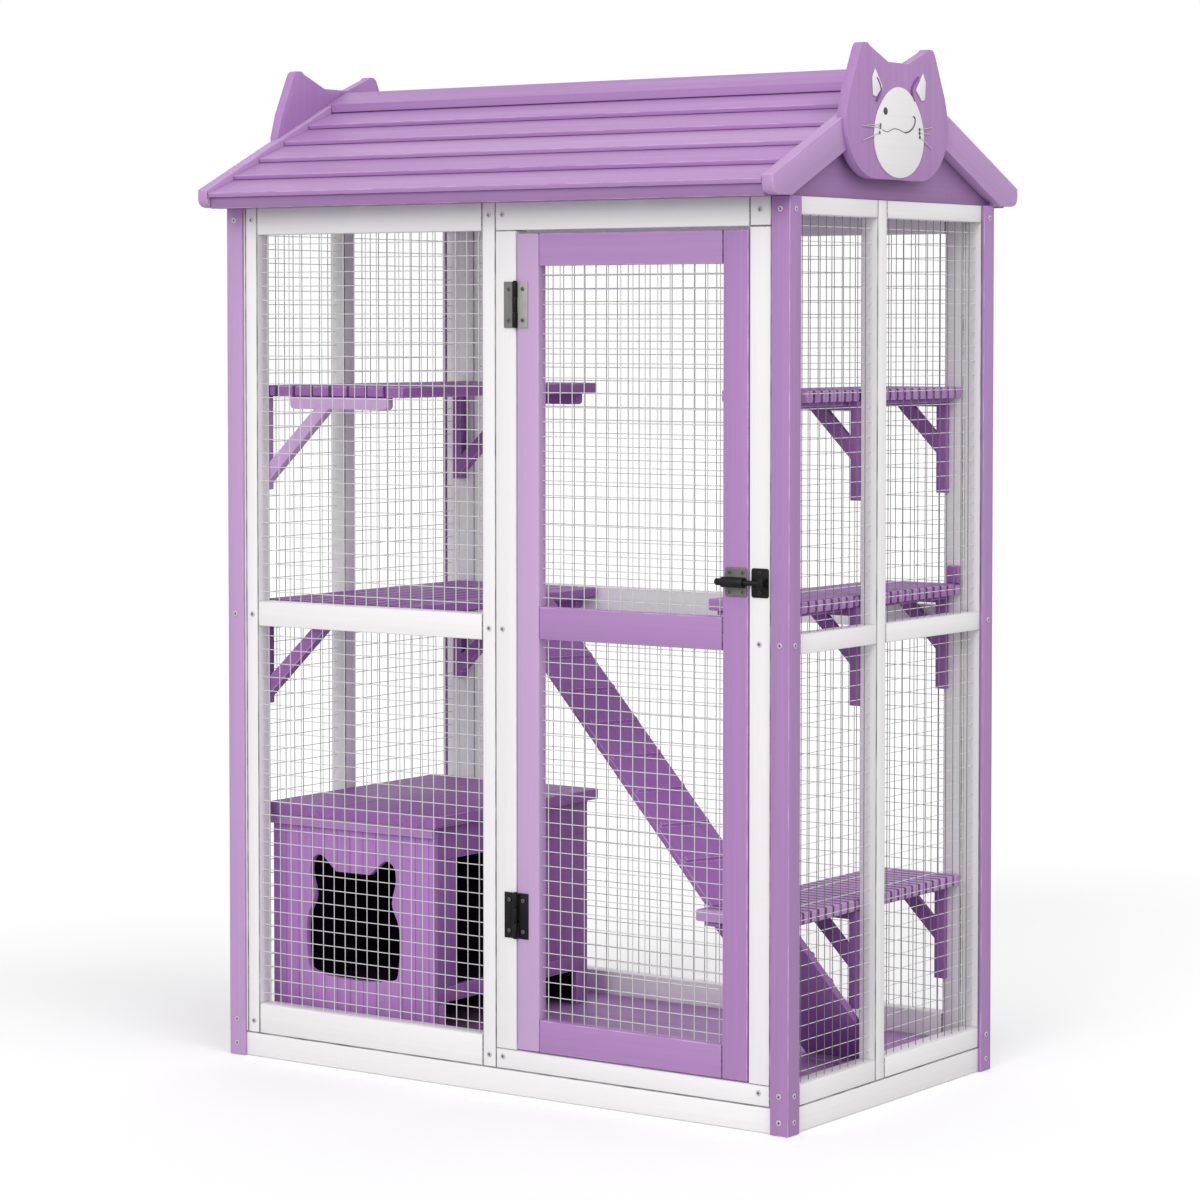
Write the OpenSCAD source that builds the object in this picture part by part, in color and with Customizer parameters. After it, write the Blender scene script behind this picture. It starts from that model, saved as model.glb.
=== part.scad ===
// Outdoor cat enclosure: a timber house with wire windows, a hinged door, shelves, ramps and a cat house.
// Front faces -Y, +X is to the right, +Z is up; the origin is on the ground under the middle.

/* [Walls] */
// Width over the corner posts
outer_w = 1220; // [1120:10:1400]
// Depth over the corner posts
outer_d = 686; // [640:2:760]
// Height of the walls under the roof
wall_h = 1560; // [1520:5:1640]
// Thickness of a corner post's two legs
post_t = 6; // [4:0.5:8]
// Width of each face of a corner post
post_face = 36; // [30:1:38]
// Thickness of the wall panels
panel_t = 34; // [28:1:34]
// Width of the front panel's left stile
left_stile_w = 27; // [24:1:34]
// Width of the front panel's right stile
right_stile_w = 29; // [24:1:34]
// Width of the side panels' front stiles
side_front_stile_w = 38; // [34:1:42]
// Width of the side panels' rear stiles
side_rear_stile_w = 29; // [24:1:31]
// Width of the upright in the middle of each side
mullion_w = 30; // [24:1:36]
// How far the side upright stands forward of the middle of the side
mullion_forward = 37; // [20:1:60]
// Width of the back panel's stiles
back_stile_w = 38; // [30:1:46]
// Height of the front and back panels' bottom rails
bottom_rail_h = 55; // [45:1:60]
// Height of the front and back panels' middle rails
middle_rail_h = 45; // [35:1:55]
// Height of the top rails at the front and back
top_rail_h = 49; // [40:1:60]
// Underside of the middle rails above the ground
middle_rail_z = 796; // [780:1:810]
// Height of the side panels' bottom rails
side_bottom_rail_h = 36; // [28:1:45]
// Height of the side panels' middle rails
side_middle_rail_h = 33; // [25:1:45]
// Height of the side panels' top rails
side_top_rail_h = 30; // [24:1:45]
// Height of the skirt boards
skirt_h = 44; // [36:1:52]
// Thickness of the skirt boards
skirt_t = 20; // [16:1:26]

/* [Door] */
// How far right of the middle the door surround starts
surround_from = 1; // [0:1:30]
// Width of the door surround's left upright
surround_left_w = 44; // [40:1:50]
// Width of the door surround's right upright
surround_right_w = 42; // [40:1:50]
// Height of the door surround's sill
sill_h = 35; // [28:1:45]
// Thickness of the door
door_t = 22; // [18:1:26]
// Gap beside and under the door
door_gap = 3; // [2.5:0.5:5]
// Gap over the door
door_top_gap = 6; // [3:0.5:8]
// Width of the door's hinge stile
hinge_stile_w = 46; // [40:1:55]
// Width of the door's latch stile
latch_stile_w = 50; // [48:1:56]
// Height of the door's three rails
door_rail_h = 56; // [45:1:65]
// Underside of the door's middle rail above the ground
door_middle_rail_z = 803; // [780:1:815]

/* [Hinges and bolt] */
// Length of a hinge along its pin
hinge_l = 80; // [60:1:100]
// Width of one hinge leaf beside the knuckle
leaf_w = 21; // [16:1:24]
// Thickness of a hinge leaf
leaf_t = 2; // [1.5:0.25:2.5]
// Radius of the hinge knuckle
knuckle_r = 4.5; // [4:0.25:5.5]
// Radius of the hinge pin
pin_r = 2; // [1.5:0.25:2.5]
// Middle of the upper hinge above the ground
upper_hinge_z = 1382; // [1250:1:1400]
// Middle of the lower hinge above the ground
lower_hinge_z = 317; // [250:1:400]
// Middle of the bolt above the ground
bolt_z = 919; // [900:1:1000]
// Radius of the bolt's sliding rod
rod_r = 4.25; // [3.5:0.25:4.5]
// Radius of the bolt's thick end
knob_r = 6; // [5.5:0.25:6.5]
// Outer radius of the bolt's barrel
barrel_r = 9; // [8:0.25:10]
// Height of the bolt's plates
plate_h = 49; // [44:1:60]

/* [Mesh] */
// Pitch of the wires drawn in the solids, every third wire of the real mesh
net_pitch = 76.2; // [70:0.2:130]
// Thickness of the mesh wire drawn in the solids
net_wire = 2; // [1.8:0.1:2.4]
// How far the mesh lies behind the outer face of its panel
net_in = 13; // [8:1:16]

/* [Roof] */
// Slope of the roof in degrees
roof_pitch = 25.4; // [23:0.2:26]
// How far the roof hangs out over the front and back
eave_over = 68; // [50:1:90]
// How far the roof hangs out past the sides
verge_over = 10; // [4:1:20]
// Number of lapped boards on each slope
roof_board_n = 5; // [4:1:6]
// Thickness of a roof board
roof_board_t = 8.5; // [7:0.5:10]
// How far each roof board laps over the one below
roof_lap = 12; // [8:1:20]
// Thickness of the ridge cap
cap_t = 13; // [10:1:16]
// Half of the ridge cap's width in plan
cap_half = 54; // [52:1:70]
// Thickness of a barge board
barge_t = 22; // [16:1:26]
// Width of a barge board
barge_w = 56; // [46:1:70]
// Thickness of a gable panel
gable_t = 12; // [9:1:15]
// Depth of a rafter
rafter_h = 46; // [44:1:50]
// Width of a rafter
rafter_w = 20; // [16:1:30]

/* [Cat-head boards] */
// Thickness of a cat-head board
head_t = 18; // [14:1:24]
// How far a cat-head board stands out past the barge boards
head_proud = 8; // [5:1:12]
// Half of the cat head's width at the cheeks
head_half = 172; // [150:1:185]
// How far the cat-head boards stand forward of the ridge
head_forward = 26; // [0:1:30]
// Thickness of the white face pieces
face_t = 2.5; // [2:0.5:4]

/* [Shelves and ramps] */
// Width of the two left shelves
left_shelf_w = 336; // [310:1:360]
// Width of the three right shelves
right_shelf_w = 171; // [165:1:200]
// Top of the two upper shelves above the ground
upper_shelf_z = 1236; // [1150:1:1300]
// Top of the middle left shelf above the ground
middle_left_z = 842; // [820:1:950]
// Top of the middle right shelf above the ground
middle_right_z = 882; // [870:1:950]
// Top of the low platform above the ground
platform_z = 356; // [340:1:380]
// Thickness of the shelf slats
slat_t = 20; // [16:1:22]
// Width of the left shelves' slats
left_slat_w = 39.5; // [36:0.5:50]
// Width of the right shelves' slats
right_slat_w = 21.5; // [18:0.5:40]
// Gap between slats
slat_gap = 2.5; // [1:0.25:3]
// Height of the battens under the right shelves
batten_h = 8; // [6:1:18]
// Width of the battens under the right shelves
batten_w = 30; // [20:1:40]
// Thickness of the left brackets and width of every bracket's upright
bracket_t = 20; // [16:1:24]
// Thickness of the right brackets
right_bracket_t = 12; // [10:1:16]
// Thickness of the ramps
ramp_t = 12; // [10:1:16]
// Width of the upper ramp
upper_ramp_w = 112; // [100:1:150]
// Width of the lower ramp
lower_ramp_w = 160; // [130:1:165]
// Height of a ramp tread
tread_h = 8; // [5:1:10]

/* [Cat house] */
// Width of the cat house's walls
house_w = 377; // [340:1:400]
// Depth of the cat house's walls
house_d = 475; // [440:1:500]
// Top of the cat house's roof above the ground
house_top_z = 465; // [450:1:520]
// Thickness of the cat house's roof board
house_roof_t = 20; // [14:1:24]
// Thickness of the cat house's wall boards
house_t = 12; // [10:1:16]
// Top of the cat house's own floor above the ground
house_floor_z = 134; // [130:1:160]
// How far the cat house's roof reaches past its right wall
house_eave = 16; // [10:1:30]
// Half of the cat-head doorway's width
doorway_half = 110; // [100:1:116]

/* [Floor and screws] */
// Thickness of the floor boards
floor_t = 12; // [9:1:16]
// Number of floor boards
floor_board_n = 6; // [4:1:8]
// Radius of a frame screw's head
frame_screw_r = 5; // [4:0.1:6]
// Radius of a screw's head in the hinges and the bolt
screw_r = 3.6; // [3:0.1:4.5]
// Height of a screw's head
screw_h = 1.4; // [1:0.1:2]

/* [Hidden] */
$fn = 40;

white = [0.93, 0.92, 0.92];
purple = [0.69, 0.53, 0.76];
galvanised = [0.62, 0.63, 0.63];
black = [0.12, 0.12, 0.12];
steel = [0.45, 0.45, 0.46];

hw = outer_w / 2;
hd = outer_d / 2;
face_x = hw - post_t;
face_y = hd - post_t;
in_x = face_x - panel_t;
in_y = face_y - panel_t;
fit = 0.3;
seat = 0.2;
join = 0.2;
net_y = -face_y + net_in - 1;

mullion_y0 = -mullion_forward - mullion_w / 2;
mullion_y1 = mullion_y0 + mullion_w;
side_y0 = -face_y + side_front_stile_w;
side_y1 = face_y - side_rear_stile_w;
panel_top = wall_h;
side_middle_z = middle_rail_z + 4;

surround_x0 = surround_from;
opening_x0 = surround_x0 + surround_left_w;
opening_x1 = in_x - surround_right_w;
opening_z0 = skirt_h + sill_h;
opening_z1 = wall_h - top_rail_h;
door_x0 = opening_x0 + door_gap;
door_x1 = opening_x1 - door_gap;
door_z0 = opening_z0 + door_gap;
door_z1 = opening_z1 - door_top_gap;
door_y1 = -face_y + door_t;
glass_x0 = door_x0 + hinge_stile_w;
glass_x1 = door_x1 - latch_stile_w;

hinge_x = opening_x0 + door_gap / 2;
hinge_y = -face_y - knuckle_r - seat;
knuckle_gap = 0.4;
plate_t = 2;
bolt_y = -face_y - plate_t - barrel_r + 0.6;
barrel_x0 = door_x1 - latch_stile_w + 6;
barrel_x1 = door_x1 - 1;
keeper_x0 = opening_x1 + 5;
keeper_w = 34;
catch_x0 = keeper_x0 + 22;
catch_w = 10;
catch_room = 0.6;
catch_wall = 4;
rod_end = catch_x0 - 1.2;
knob_l = 15;
rod_play = 0.3;
collar_t = 3;
thick_end = barrel_x1 - collar_t - 12;

tan_p = tan(roof_pitch);
cos_p = cos(roof_pitch);
eave_y = hd + eave_over;
rafter_apex = wall_h + hd * tan_p + 37.5;
barge_top = 24.5;
barge_x0 = hw + verge_over - barge_t;
barge_x1 = hw + verge_over;
board_eave_y = eave_y - 8;
expose = (board_eave_y - cap_half + 8) / roof_board_n / cos_p;
board_l = expose + roof_lap;
board_lift = roof_board_t * (1 + roof_lap / board_l) + fit;
board_tilt = asin(board_lift / board_l);
cap_pack = 3;
cap_under = board_lift + cap_pack;
cap_over = cap_under + cap_t;
strip_w = 22;
beam_w = 20;
beam_h = 70;
rafter_xs = [-barge_x0 + gable_t + rafter_w / 2, -300, 0, 300, barge_x0 - gable_t - rafter_w / 2];

head_x0 = barge_x1 + head_proud - head_t;
head_x1 = barge_x1 + head_proud;
head_top = rafter_apex + 62;
head_notch = rafter_apex + 33;
chin_r = 100;
chin_z = rafter_apex - 66;

shelf_y1 = in_y - 2;
left_shelf_x1 = -in_x + left_shelf_w;
right_shelf_x0 = in_x - 2 - right_shelf_w;
floor_top = skirt_h + floor_t;
bar_h = 22;
bracket_arm = 24;
left_drop = 172;
right_drop = 171;
right_bar_h = 16;
right_foot = 100;
rear_bracket_in = 28;
upper_right_y0 = -in_y + 80;
middle_right_y0 = -in_y + 40;
platform_y0 = -in_y + 2;

house_x0 = -in_x + 1;
house_x1 = house_x0 + house_w;
house_y0 = -in_y + 38;
house_y1 = house_y0 + house_d;
house_wall_top = house_top_z - house_roof_t;
groove_pitch = 30.4;
side_door_y0 = house_y0 + 66;
side_door_y1 = side_door_y0 + 229;
side_door_z0 = 150;
side_door_z1 = 382;
house_gap_z = 122;

// A box between two corners
module block(low, high) {
    translate(low)
        cube(high - low);
}

// A flat outline in Y and Z, thick along X from x0 to x1
module slab_x(x0, x1) {
    translate([x0, 0, 0])
        rotate([90, 0, 90])
            linear_extrude(x1 - x0)
                children();
}

// A flat outline in X and Z, thick along Y from y0 to y1
module slab_y(y0, y1) {
    translate([0, y1, 0])
        rotate([90, 0, 0])
            linear_extrude(y1 - y0)
                children();
}

// Upright wires of a welded mesh window between two corners
module net_uprights(low, high) {
    n = max(2, round((high[0] - low[0]) / net_pitch));
    for (i = [1 : n - 1])
        translate([low[0] + i * (high[0] - low[0]) / n - net_wire / 2, low[1] + seat])
            square([net_wire, high[1] - low[1] - 2 * seat]);
}

// Level wires of a welded mesh window between two corners
module net_levels(low, high) {
    n = max(2, round((high[1] - low[1]) / net_pitch));
    for (i = [1 : n - 1])
        translate([low[0] + seat, low[1] + i * (high[1] - low[1]) / n - net_wire / 2])
            square([high[0] - low[0] - 2 * seat, net_wire]);
}

// Mesh windows in a wall that faces -Y: uprights outside, level wires just behind them
module net_windows(windows) {
    color(galvanised) {
        slab_y(net_y - net_wire, net_y)
            for (w = windows)
                net_uprights(w[0], w[1]);
        slab_y(net_y + join, net_y + join + net_wire)
            for (w = windows)
                net_levels(w[0], w[1]);
    }
}

// Corner posts: an L-shaped section over the ends of two panels
module corner_post(side_x, side_y) {
    color(purple)
        mirror([side_x < 0 ? 1 : 0, 0, 0])
            mirror([0, side_y > 0 ? 1 : 0, 0])
                difference() {
                    block([hw - post_face, -hd, 0], [hw, -hd + post_face, wall_h]);
                    block([hw - post_face - 1, -hd + post_t, -1], [hw - post_t, hd, wall_h + 1]);
                }
}

module post_front_left() { corner_post(-1, -1); }
module post_front_right() { corner_post(1, -1); }
module post_back_left() { corner_post(-1, 1); }
module post_back_right() { corner_post(1, 1); }

// A framed panel in the front or back wall: two stiles with three rails between them
module flat_panel(x0, x1, y0, y1, left_w, right_w) {
    color(white) {
        block([x0, y0, skirt_h], [x0 + left_w, y1, panel_top]);
        block([x1 - right_w, y0, skirt_h], [x1, y1, panel_top]);
        for (z = [[skirt_h, skirt_h + bottom_rail_h], [middle_rail_z, middle_rail_z + middle_rail_h],
                [wall_h - top_rail_h, wall_h]])
            block([x0 + left_w + join, y0, z[0]], [x1 - right_w - join, y1, z[1]]);
    }
}

module front_left_panel() {
    flat_panel(-in_x, surround_x0, -face_y, -in_y, left_stile_w, right_stile_w);
}

module back_panel() {
    flat_panel(-in_x, in_x, in_y, face_y, back_stile_w, back_stile_w);
}

// Door surround: sill and head right across, two uprights between them and a square end block
module door_surround() {
    color(white) {
        block([surround_x0, -face_y, skirt_h], [in_x, -in_y, opening_z0]);
        block([surround_x0, -face_y, opening_z0 + join], [opening_x0, -in_y, opening_z1 - join]);
        block([opening_x1, -face_y, opening_z0 + join], [in_x, -in_y, opening_z1 - join]);
        block([surround_x0, -face_y, opening_z1], [opening_x1 - join, -in_y, wall_h]);
        block([opening_x1, -face_y, opening_z1], [in_x, -in_y, wall_h]);
    }
}

// One side wall: stiles at both ends, an upright between them and six rails
module side_panel(side) {
    rails = [[skirt_h, skirt_h + side_bottom_rail_h], [side_middle_z, side_middle_z + side_middle_rail_h],
        [wall_h - side_top_rail_h, wall_h]];
    color(white)
        mirror([side < 0 ? 1 : 0, 0, 0]) {
            block([in_x, -face_y, skirt_h], [face_x, side_y0, panel_top]);
            block([in_x, mullion_y0, skirt_h], [face_x, mullion_y1, panel_top]);
            block([in_x, side_y1, skirt_h], [face_x, face_y, panel_top]);
            for (z = rails) {
                block([in_x, side_y0 + join, z[0]], [face_x, mullion_y0 - join, z[1]]);
                block([in_x, mullion_y1 + join, z[0]], [face_x, side_y1 - join, z[1]]);
            }
        }
}

module left_side_panel() { side_panel(-1); }
module right_side_panel() { side_panel(1); }

// Skirt boards under the panels, inside the posts' legs
module skirt_boards() {
    color(white)
        for (s = [0, 1]) {
            mirror([s, 0, 0])
                block([face_x - skirt_t, -face_y, 0], [face_x, face_y, skirt_h]);
            mirror([0, s, 0])
                block([-face_x + skirt_t + join, -face_y, 0],
                    [face_x - skirt_t - join, -face_y + skirt_t, skirt_h]);
        }
}

// Three bearers across, between the front and back skirts
module floor_bearers() {
    color(purple)
        for (x = [-in_x * 0.7, 0, in_x * 0.7])
            block([x - 20, -face_y + skirt_t, 8], [x + 20, face_y - skirt_t, skirt_h]);
}

// Floor boards side by side on the bearers
module floor_boards() {
    gap = 1.5;
    deep = (2 * in_y - 2) / floor_board_n;
    color(purple)
        for (i = [0 : floor_board_n - 1])
            block([-in_x + 1, -in_y + 1 + i * deep, skirt_h],
                [in_x - 1, -in_y + 1 + (i + 1) * deep - gap, floor_top]);
}

// Mesh in the two windows of the front left panel
module front_mesh() {
    x0 = -in_x + left_stile_w;
    x1 = surround_x0 - right_stile_w;
    net_windows([[[x0, skirt_h + bottom_rail_h], [x1, middle_rail_z]],
        [[x0, middle_rail_z + middle_rail_h], [x1, wall_h - top_rail_h]]]);
}

// Mesh in the two windows of the back panel
module back_mesh() {
    x = in_x - back_stile_w;
    mirror([0, 1, 0])
        net_windows([[[-x, skirt_h + bottom_rail_h], [x, middle_rail_z]],
            [[-x, middle_rail_z + middle_rail_h], [x, wall_h - top_rail_h]]]);
}

// Mesh in the four windows of a side wall
module side_mesh(side) {
    x = -net_y + face_x - face_y;
    windows = [for (bay = [[side_y0, mullion_y0], [mullion_y1, side_y1]])
        for (z = [[skirt_h + side_bottom_rail_h, side_middle_z],
                [side_middle_z + side_middle_rail_h, wall_h - side_top_rail_h]])
            [[bay[0], z[0]], [bay[1], z[1]]]];
    color(galvanised)
        mirror([side < 0 ? 1 : 0, 0, 0]) {
            slab_x(x, x + net_wire)
                for (w = windows)
                    net_uprights(w[0], w[1]);
            slab_x(x - join - net_wire, x - join)
                for (w = windows)
                    net_levels(w[0], w[1]);
        }
}

module left_mesh() { side_mesh(-1); }
module right_mesh() { side_mesh(1); }

// Door: two full-height stiles and three rails
module door_stiles_and_rails() {
    color(purple) {
        block([door_x0, -face_y, door_z0], [glass_x0, door_y1, door_z1]);
        block([glass_x1, -face_y, door_z0], [door_x1, door_y1, door_z1]);
        for (z = [door_z0, door_middle_rail_z, door_z1 - door_rail_h])
            block([glass_x0 + join, -face_y, z], [glass_x1 - join, door_y1, z + door_rail_h]);
    }
}

module door_mesh() {
    net_windows([[[glass_x0, door_z0 + door_rail_h], [glass_x1, door_middle_rail_z]],
        [[glass_x0, door_middle_rail_z + door_rail_h], [glass_x1, door_z1 - door_rail_h]]]);
}

// One third of a hinge knuckle, bored for the pin
module knuckle(z0, z1) {
    translate([hinge_x, hinge_y, z0])
        difference() {
            cylinder(r = knuckle_r, h = z1 - z0);
            translate([0, 0, -1])
                cylinder(r = pin_r + 0.05, h = z1 - z0 + 2);
        }
}

// A hinge leaf on one side of the pin with its knuckles
module leaf(z, side, thirds) {
    third = hinge_l / 3;
    x0 = side < 0 ? hinge_x - leaf_w : hinge_x;
    for (i = thirds) {
        z0 = z - hinge_l / 2 + i * third + (i > 0 ? knuckle_gap / 2 : 0);
        z1 = z - hinge_l / 2 + (i + 1) * third - (i < 2 ? knuckle_gap / 2 : 0);
        difference() {
            union() {
                translate([hinge_x, hinge_y, z0])
                    cylinder(r = knuckle_r, h = z1 - z0);
                block([side < 0 ? hinge_x - knuckle_r : hinge_x, -face_y - seat - leaf_t, z0],
                    [side < 0 ? hinge_x : hinge_x + knuckle_r, -face_y - seat, z1]);
            }
            translate([hinge_x, hinge_y, z0 - 1])
                cylinder(r = pin_r + 0.05, h = z1 - z0 + 2);
        }
    }
    block([side < 0 ? hinge_x - knuckle_r - leaf_w : hinge_x + knuckle_r, -face_y - seat - leaf_t,
        z - hinge_l / 2],
        [side < 0 ? hinge_x - knuckle_r : hinge_x + knuckle_r + leaf_w, -face_y - seat, z + hinge_l / 2]);
}

module hinge_frame_leaves() {
    color(black)
        for (z = [upper_hinge_z, lower_hinge_z])
            leaf(z, -1, [0, 2]);
}

module hinge_door_leaves() {
    color(black)
        for (z = [upper_hinge_z, lower_hinge_z])
            leaf(z, 1, [1]);
}

// Hinge pins with a low head at the top
module hinge_pins() {
    color(steel)
        for (z = [upper_hinge_z, lower_hinge_z])
            translate([hinge_x, hinge_y, z - hinge_l / 2]) {
                cylinder(r = pin_r, h = hinge_l + 1);
                translate([0, 0, hinge_l])
                    cylinder(r = pin_r + 1, h = 1.6);
            }
}

// A round bar along X on the bolt's line
module rod_x(x0, x1, r) {
    translate([x0, bolt_y, bolt_z])
        rotate([0, 90, 0])
            cylinder(r = r, h = x1 - x0);
}

// A plate with rounded corners, flat on the wall's face
module hardware_plate(x0, x1) {
    r = 4;
    z0 = bolt_z - plate_h / 2;
    z1 = bolt_z + plate_h / 2;
    slab_y(-face_y - plate_t, -face_y) {
        translate([x0 + r, z0])
            square([x1 - x0 - 2 * r, plate_h]);
        translate([x0, z0 + r])
            square([x1 - x0, plate_h - 2 * r]);
        for (x = [x0 + r, x1 - r])
            for (z = [z0 + r, z1 - r])
                translate([x, z])
                    circle(r = r);
    }
}

// Bolt plate on the door's latch stile with the guide barrel on it
module bolt_plate_and_barrel() {
    color(steel)
        difference() {
            union() {
                hardware_plate(barrel_x0, barrel_x1);
                rod_x(barrel_x0, barrel_x1, barrel_r);
            }
            rod_x(barrel_x0 - 1, barrel_x1 - collar_t, knob_r + rod_play);
            rod_x(barrel_x0 - 1, barrel_x1 + 1, rod_r + rod_play);
        }
}

// Sliding bolt: a thick end that runs in the barrel and a thinner rod through its collar
module bolt_rod() {
    color(black) {
        rod_x(barrel_x0 - knob_l + 3, thick_end, knob_r);
        translate([barrel_x0 - knob_l, bolt_y, bolt_z])
            rotate([0, 90, 0])
                cylinder(r1 = knob_r - 3, r2 = knob_r, h = 3);
        rod_x(thick_end - 1, rod_end, rod_r);
    }
}

// Keeper on the surround: a plate with a square catch that the rod slides into
module bolt_keeper() {
    half = rod_r + catch_room;
    x1 = catch_x0 + catch_w;
    plate_y = -face_y - plate_t;
    color(black) {
        hardware_plate(keeper_x0, keeper_x0 + keeper_w);
        for (s = [-1, 1]) {
            z0 = bolt_z + (s > 0 ? half : -half - catch_wall);
            block([catch_x0, bolt_y - half, z0], [x1, plate_y - join, z0 + catch_wall]);
        }
        block([catch_x0, bolt_y - half - catch_wall, bolt_z - half - catch_wall],
            [x1, bolt_y - half - join, bolt_z + half + catch_wall]);
    }
}

// Places its children on the front slope, with Y up the slope and Z square to it
module on_slope() {
    translate([0, -board_eave_y, rafter_apex - board_eave_y * tan_p])
        rotate([roof_pitch, 0, 0])
            children();
}

// Lapped boards of one slope
module roof_boards() {
    x = barge_x0 - 0.5;
    color(purple)
        for (i = [0 : roof_board_n - 1])
            on_slope()
                translate([-x, i * expose, board_lift])
                    rotate([-board_tilt, 0, 0])
                        cube([2 * x, board_l, roof_board_t]);
}

module front_roof_boards() { roof_boards(); }

module back_roof_boards() {
    mirror([0, 1, 0])
        roof_boards();
}

// Eave strips: a strip under the lowest board of each slope
module eave_strips() {
    z = rafter_apex - board_eave_y * tan_p;
    lift = board_lift / cos_p - 0.9;
    slope = tan(roof_pitch - board_tilt);
    color(purple)
        for (s = [0, 1])
            mirror([0, s, 0])
                slab_x(-barge_x0 + 0.5, barge_x0 - 0.5)
                    polygon([[-board_eave_y + 2, wall_h - 2], [-board_eave_y + 2 + strip_w, wall_h - 2],
                        [-board_eave_y + 2 + strip_w, z + lift + (2 + strip_w) * slope],
                        [-board_eave_y + 2, z + lift + 2 * slope]]);
}

// Half of the ridge cap's outline with room round it
module cap_outline(room) {
    top = rafter_apex + cap_over / cos_p;
    low = rafter_apex + cap_under / cos_p;
    polygon([[-0.1, top + room], [-0.1, low - room],
        [cap_half + room, low - room - (cap_half + room) * tan_p],
        [cap_half + room, top + room - (cap_half + room) * tan_p]]);
}

// Ridge cap let in over both barge boards, with a packing strip on the top board of each slope
module ridge_cap() {
    s0 = roof_board_n * expose + 2;
    s1 = s0 + 8;
    face = board_lift + roof_board_t / cos(board_tilt);
    from = (roof_board_n - 1) * expose;
    color(purple) {
        slab_x(-barge_x1, barge_x1) {
            cap_outline(0);
            mirror([1, 0])
                cap_outline(0);
        }
        for (s = [0, 1])
            mirror([0, s, 0])
                on_slope()
                    slab_x(-barge_x0 + 0.5, barge_x0 - 0.5)
                        polygon([[s0, face - (s0 - from) * tan(board_tilt) + 0.1],
                            [s1, face - (s1 - from) * tan(board_tilt) + 0.1], [s1, cap_under],
                                [s0, cap_under]]);
    }
}

// Ridge beam from gable to gable, under the cap
module ridge_beam() {
    x = barge_x0 - gable_t - 0.5;
    top = rafter_apex + cap_under / cos_p - seat - beam_w / 2 * tan_p;
    color(purple)
        slab_x(-x, x)
            polygon([[-beam_w / 2, top - beam_h], [beam_w / 2, top - beam_h], [beam_w / 2, top],
                [0, top + beam_w / 2 * tan_p], [-beam_w / 2, top]]);
}

// Rafters of both slopes, standing on the wall tops
module rafters() {
    foot = board_eave_y - 2 - strip_w - seat;
    deep = rafter_h / cos_p;
    low = rafter_apex - deep;
    y_cut = (low - wall_h) / tan_p;
    color(purple)
        for (s = [0, 1])
            mirror([0, s, 0])
                for (x = rafter_xs)
                    slab_x(x - rafter_w / 2, x + rafter_w / 2)
                        polygon([[-beam_w / 2 - seat, rafter_apex - (beam_w / 2 + seat) * tan_p],
                            [-beam_w / 2 - seat, low - (beam_w / 2 + seat) * tan_p],
                            [-y_cut, wall_h], [-foot, wall_h], [-foot, rafter_apex - foot * tan_p]]);
}

// Outline of the front barge board in Y and Z, with room round it
module barge_outline(room) {
    top = rafter_apex + barge_top / cos_p + room;
    low = top - barge_w / cos_p - 2 * room;
    foot = wall_h - room;
    y = eave_y + room;
    difference() {
        polygon([[-join, top], [-y, top - y * tan_p], [-y, foot + 15], [-y + 3, foot + 7], [-y + 9, foot + 2],
            [-y + 18, foot], [-(low - foot) / tan_p, foot], [-join, low]]);
        mirror([1, 0])
            cap_outline(seat);
    }
}

module barge_boards() {
    color(purple)
        for (s = [0, 1])
            mirror([0, s, 0])
                slab_x(barge_x0, barge_x1)
                    barge_outline(0);
}

module right_barge_boards() { barge_boards(); }

module left_barge_boards() {
    mirror([1, 0, 0])
        barge_boards();
}

// Gable panel on the side wall's top rail, behind the barge boards
module gable_panel() {
    top = rafter_apex - seat;
    half = board_eave_y - 2 - strip_w - seat;
    color(purple)
        slab_x(barge_x0 - gable_t, barge_x0)
            polygon([[-half, wall_h], [half, wall_h], [half, top - half * tan_p], [0, top],
                [-half, top - half * tan_p]]);
}

module right_gable_panel() { gable_panel(); }

module left_gable_panel() {
    mirror([1, 0, 0])
        gable_panel();
}

// Half of the cat head's outline, on the +Y side
module head_half_outline() {
    polygon(concat([[-1, chin_z - chin_r], [-1, head_notch], [34, head_notch], [95, head_top - 5],
        [102, head_top],
            [114, head_top], [121, head_top - 5], [126, head_top - 14], [head_half - 13, chin_z + 44]],
        [for (a = [0 : -9 : -90]) [head_half - chin_r + chin_r * cos(a), chin_z + chin_r * sin(a)]]));
}

// Cat-head board let in over the barge boards and the ridge cap
module cat_head() {
    color(purple)
        difference() {
            slab_x(head_x0, head_x1)
                for (s = [0, 1])
                    translate([-head_forward, 0])
                        mirror([s, 0])
                            head_half_outline();
            for (s = [0, 1])
                mirror([0, s, 0])
                    slab_x(head_x0 - 1, barge_x1 + fit) {
                        barge_outline(fit);
                        mirror([1, 0])
                            cap_outline(fit);
                    }
        }
}

module right_cat_head() { cat_head(); }

module left_cat_head() {
    mirror([1, 0, 0])
        cat_head();
}

// White blaze and inner ears on both cat-head boards
module cat_face_whites() {
    mid = chin_z - 16;
    ear = head_top - 43;
    color(white)
        for (s = [0, 1])
            translate([0, -head_forward, 0])
                mirror([s, 0, 0])
                    slab_x(head_x1, head_x1 + face_t) {
                        polygon([for (a = [0 : 6 : 354])
                            [(82 - 12 * sin(a)) * cos(a), mid + (sin(a) < 0 ? 81 : 74) * sin(a)]]);
                        for (side = [-1, 1])
                            polygon([[side * 80, ear], [side * 89, ear - 15], [side * 86, ear - 45],
                                [side * 76, ear - 47], [side * 56, ear - 29]]);
                    }
}

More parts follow.
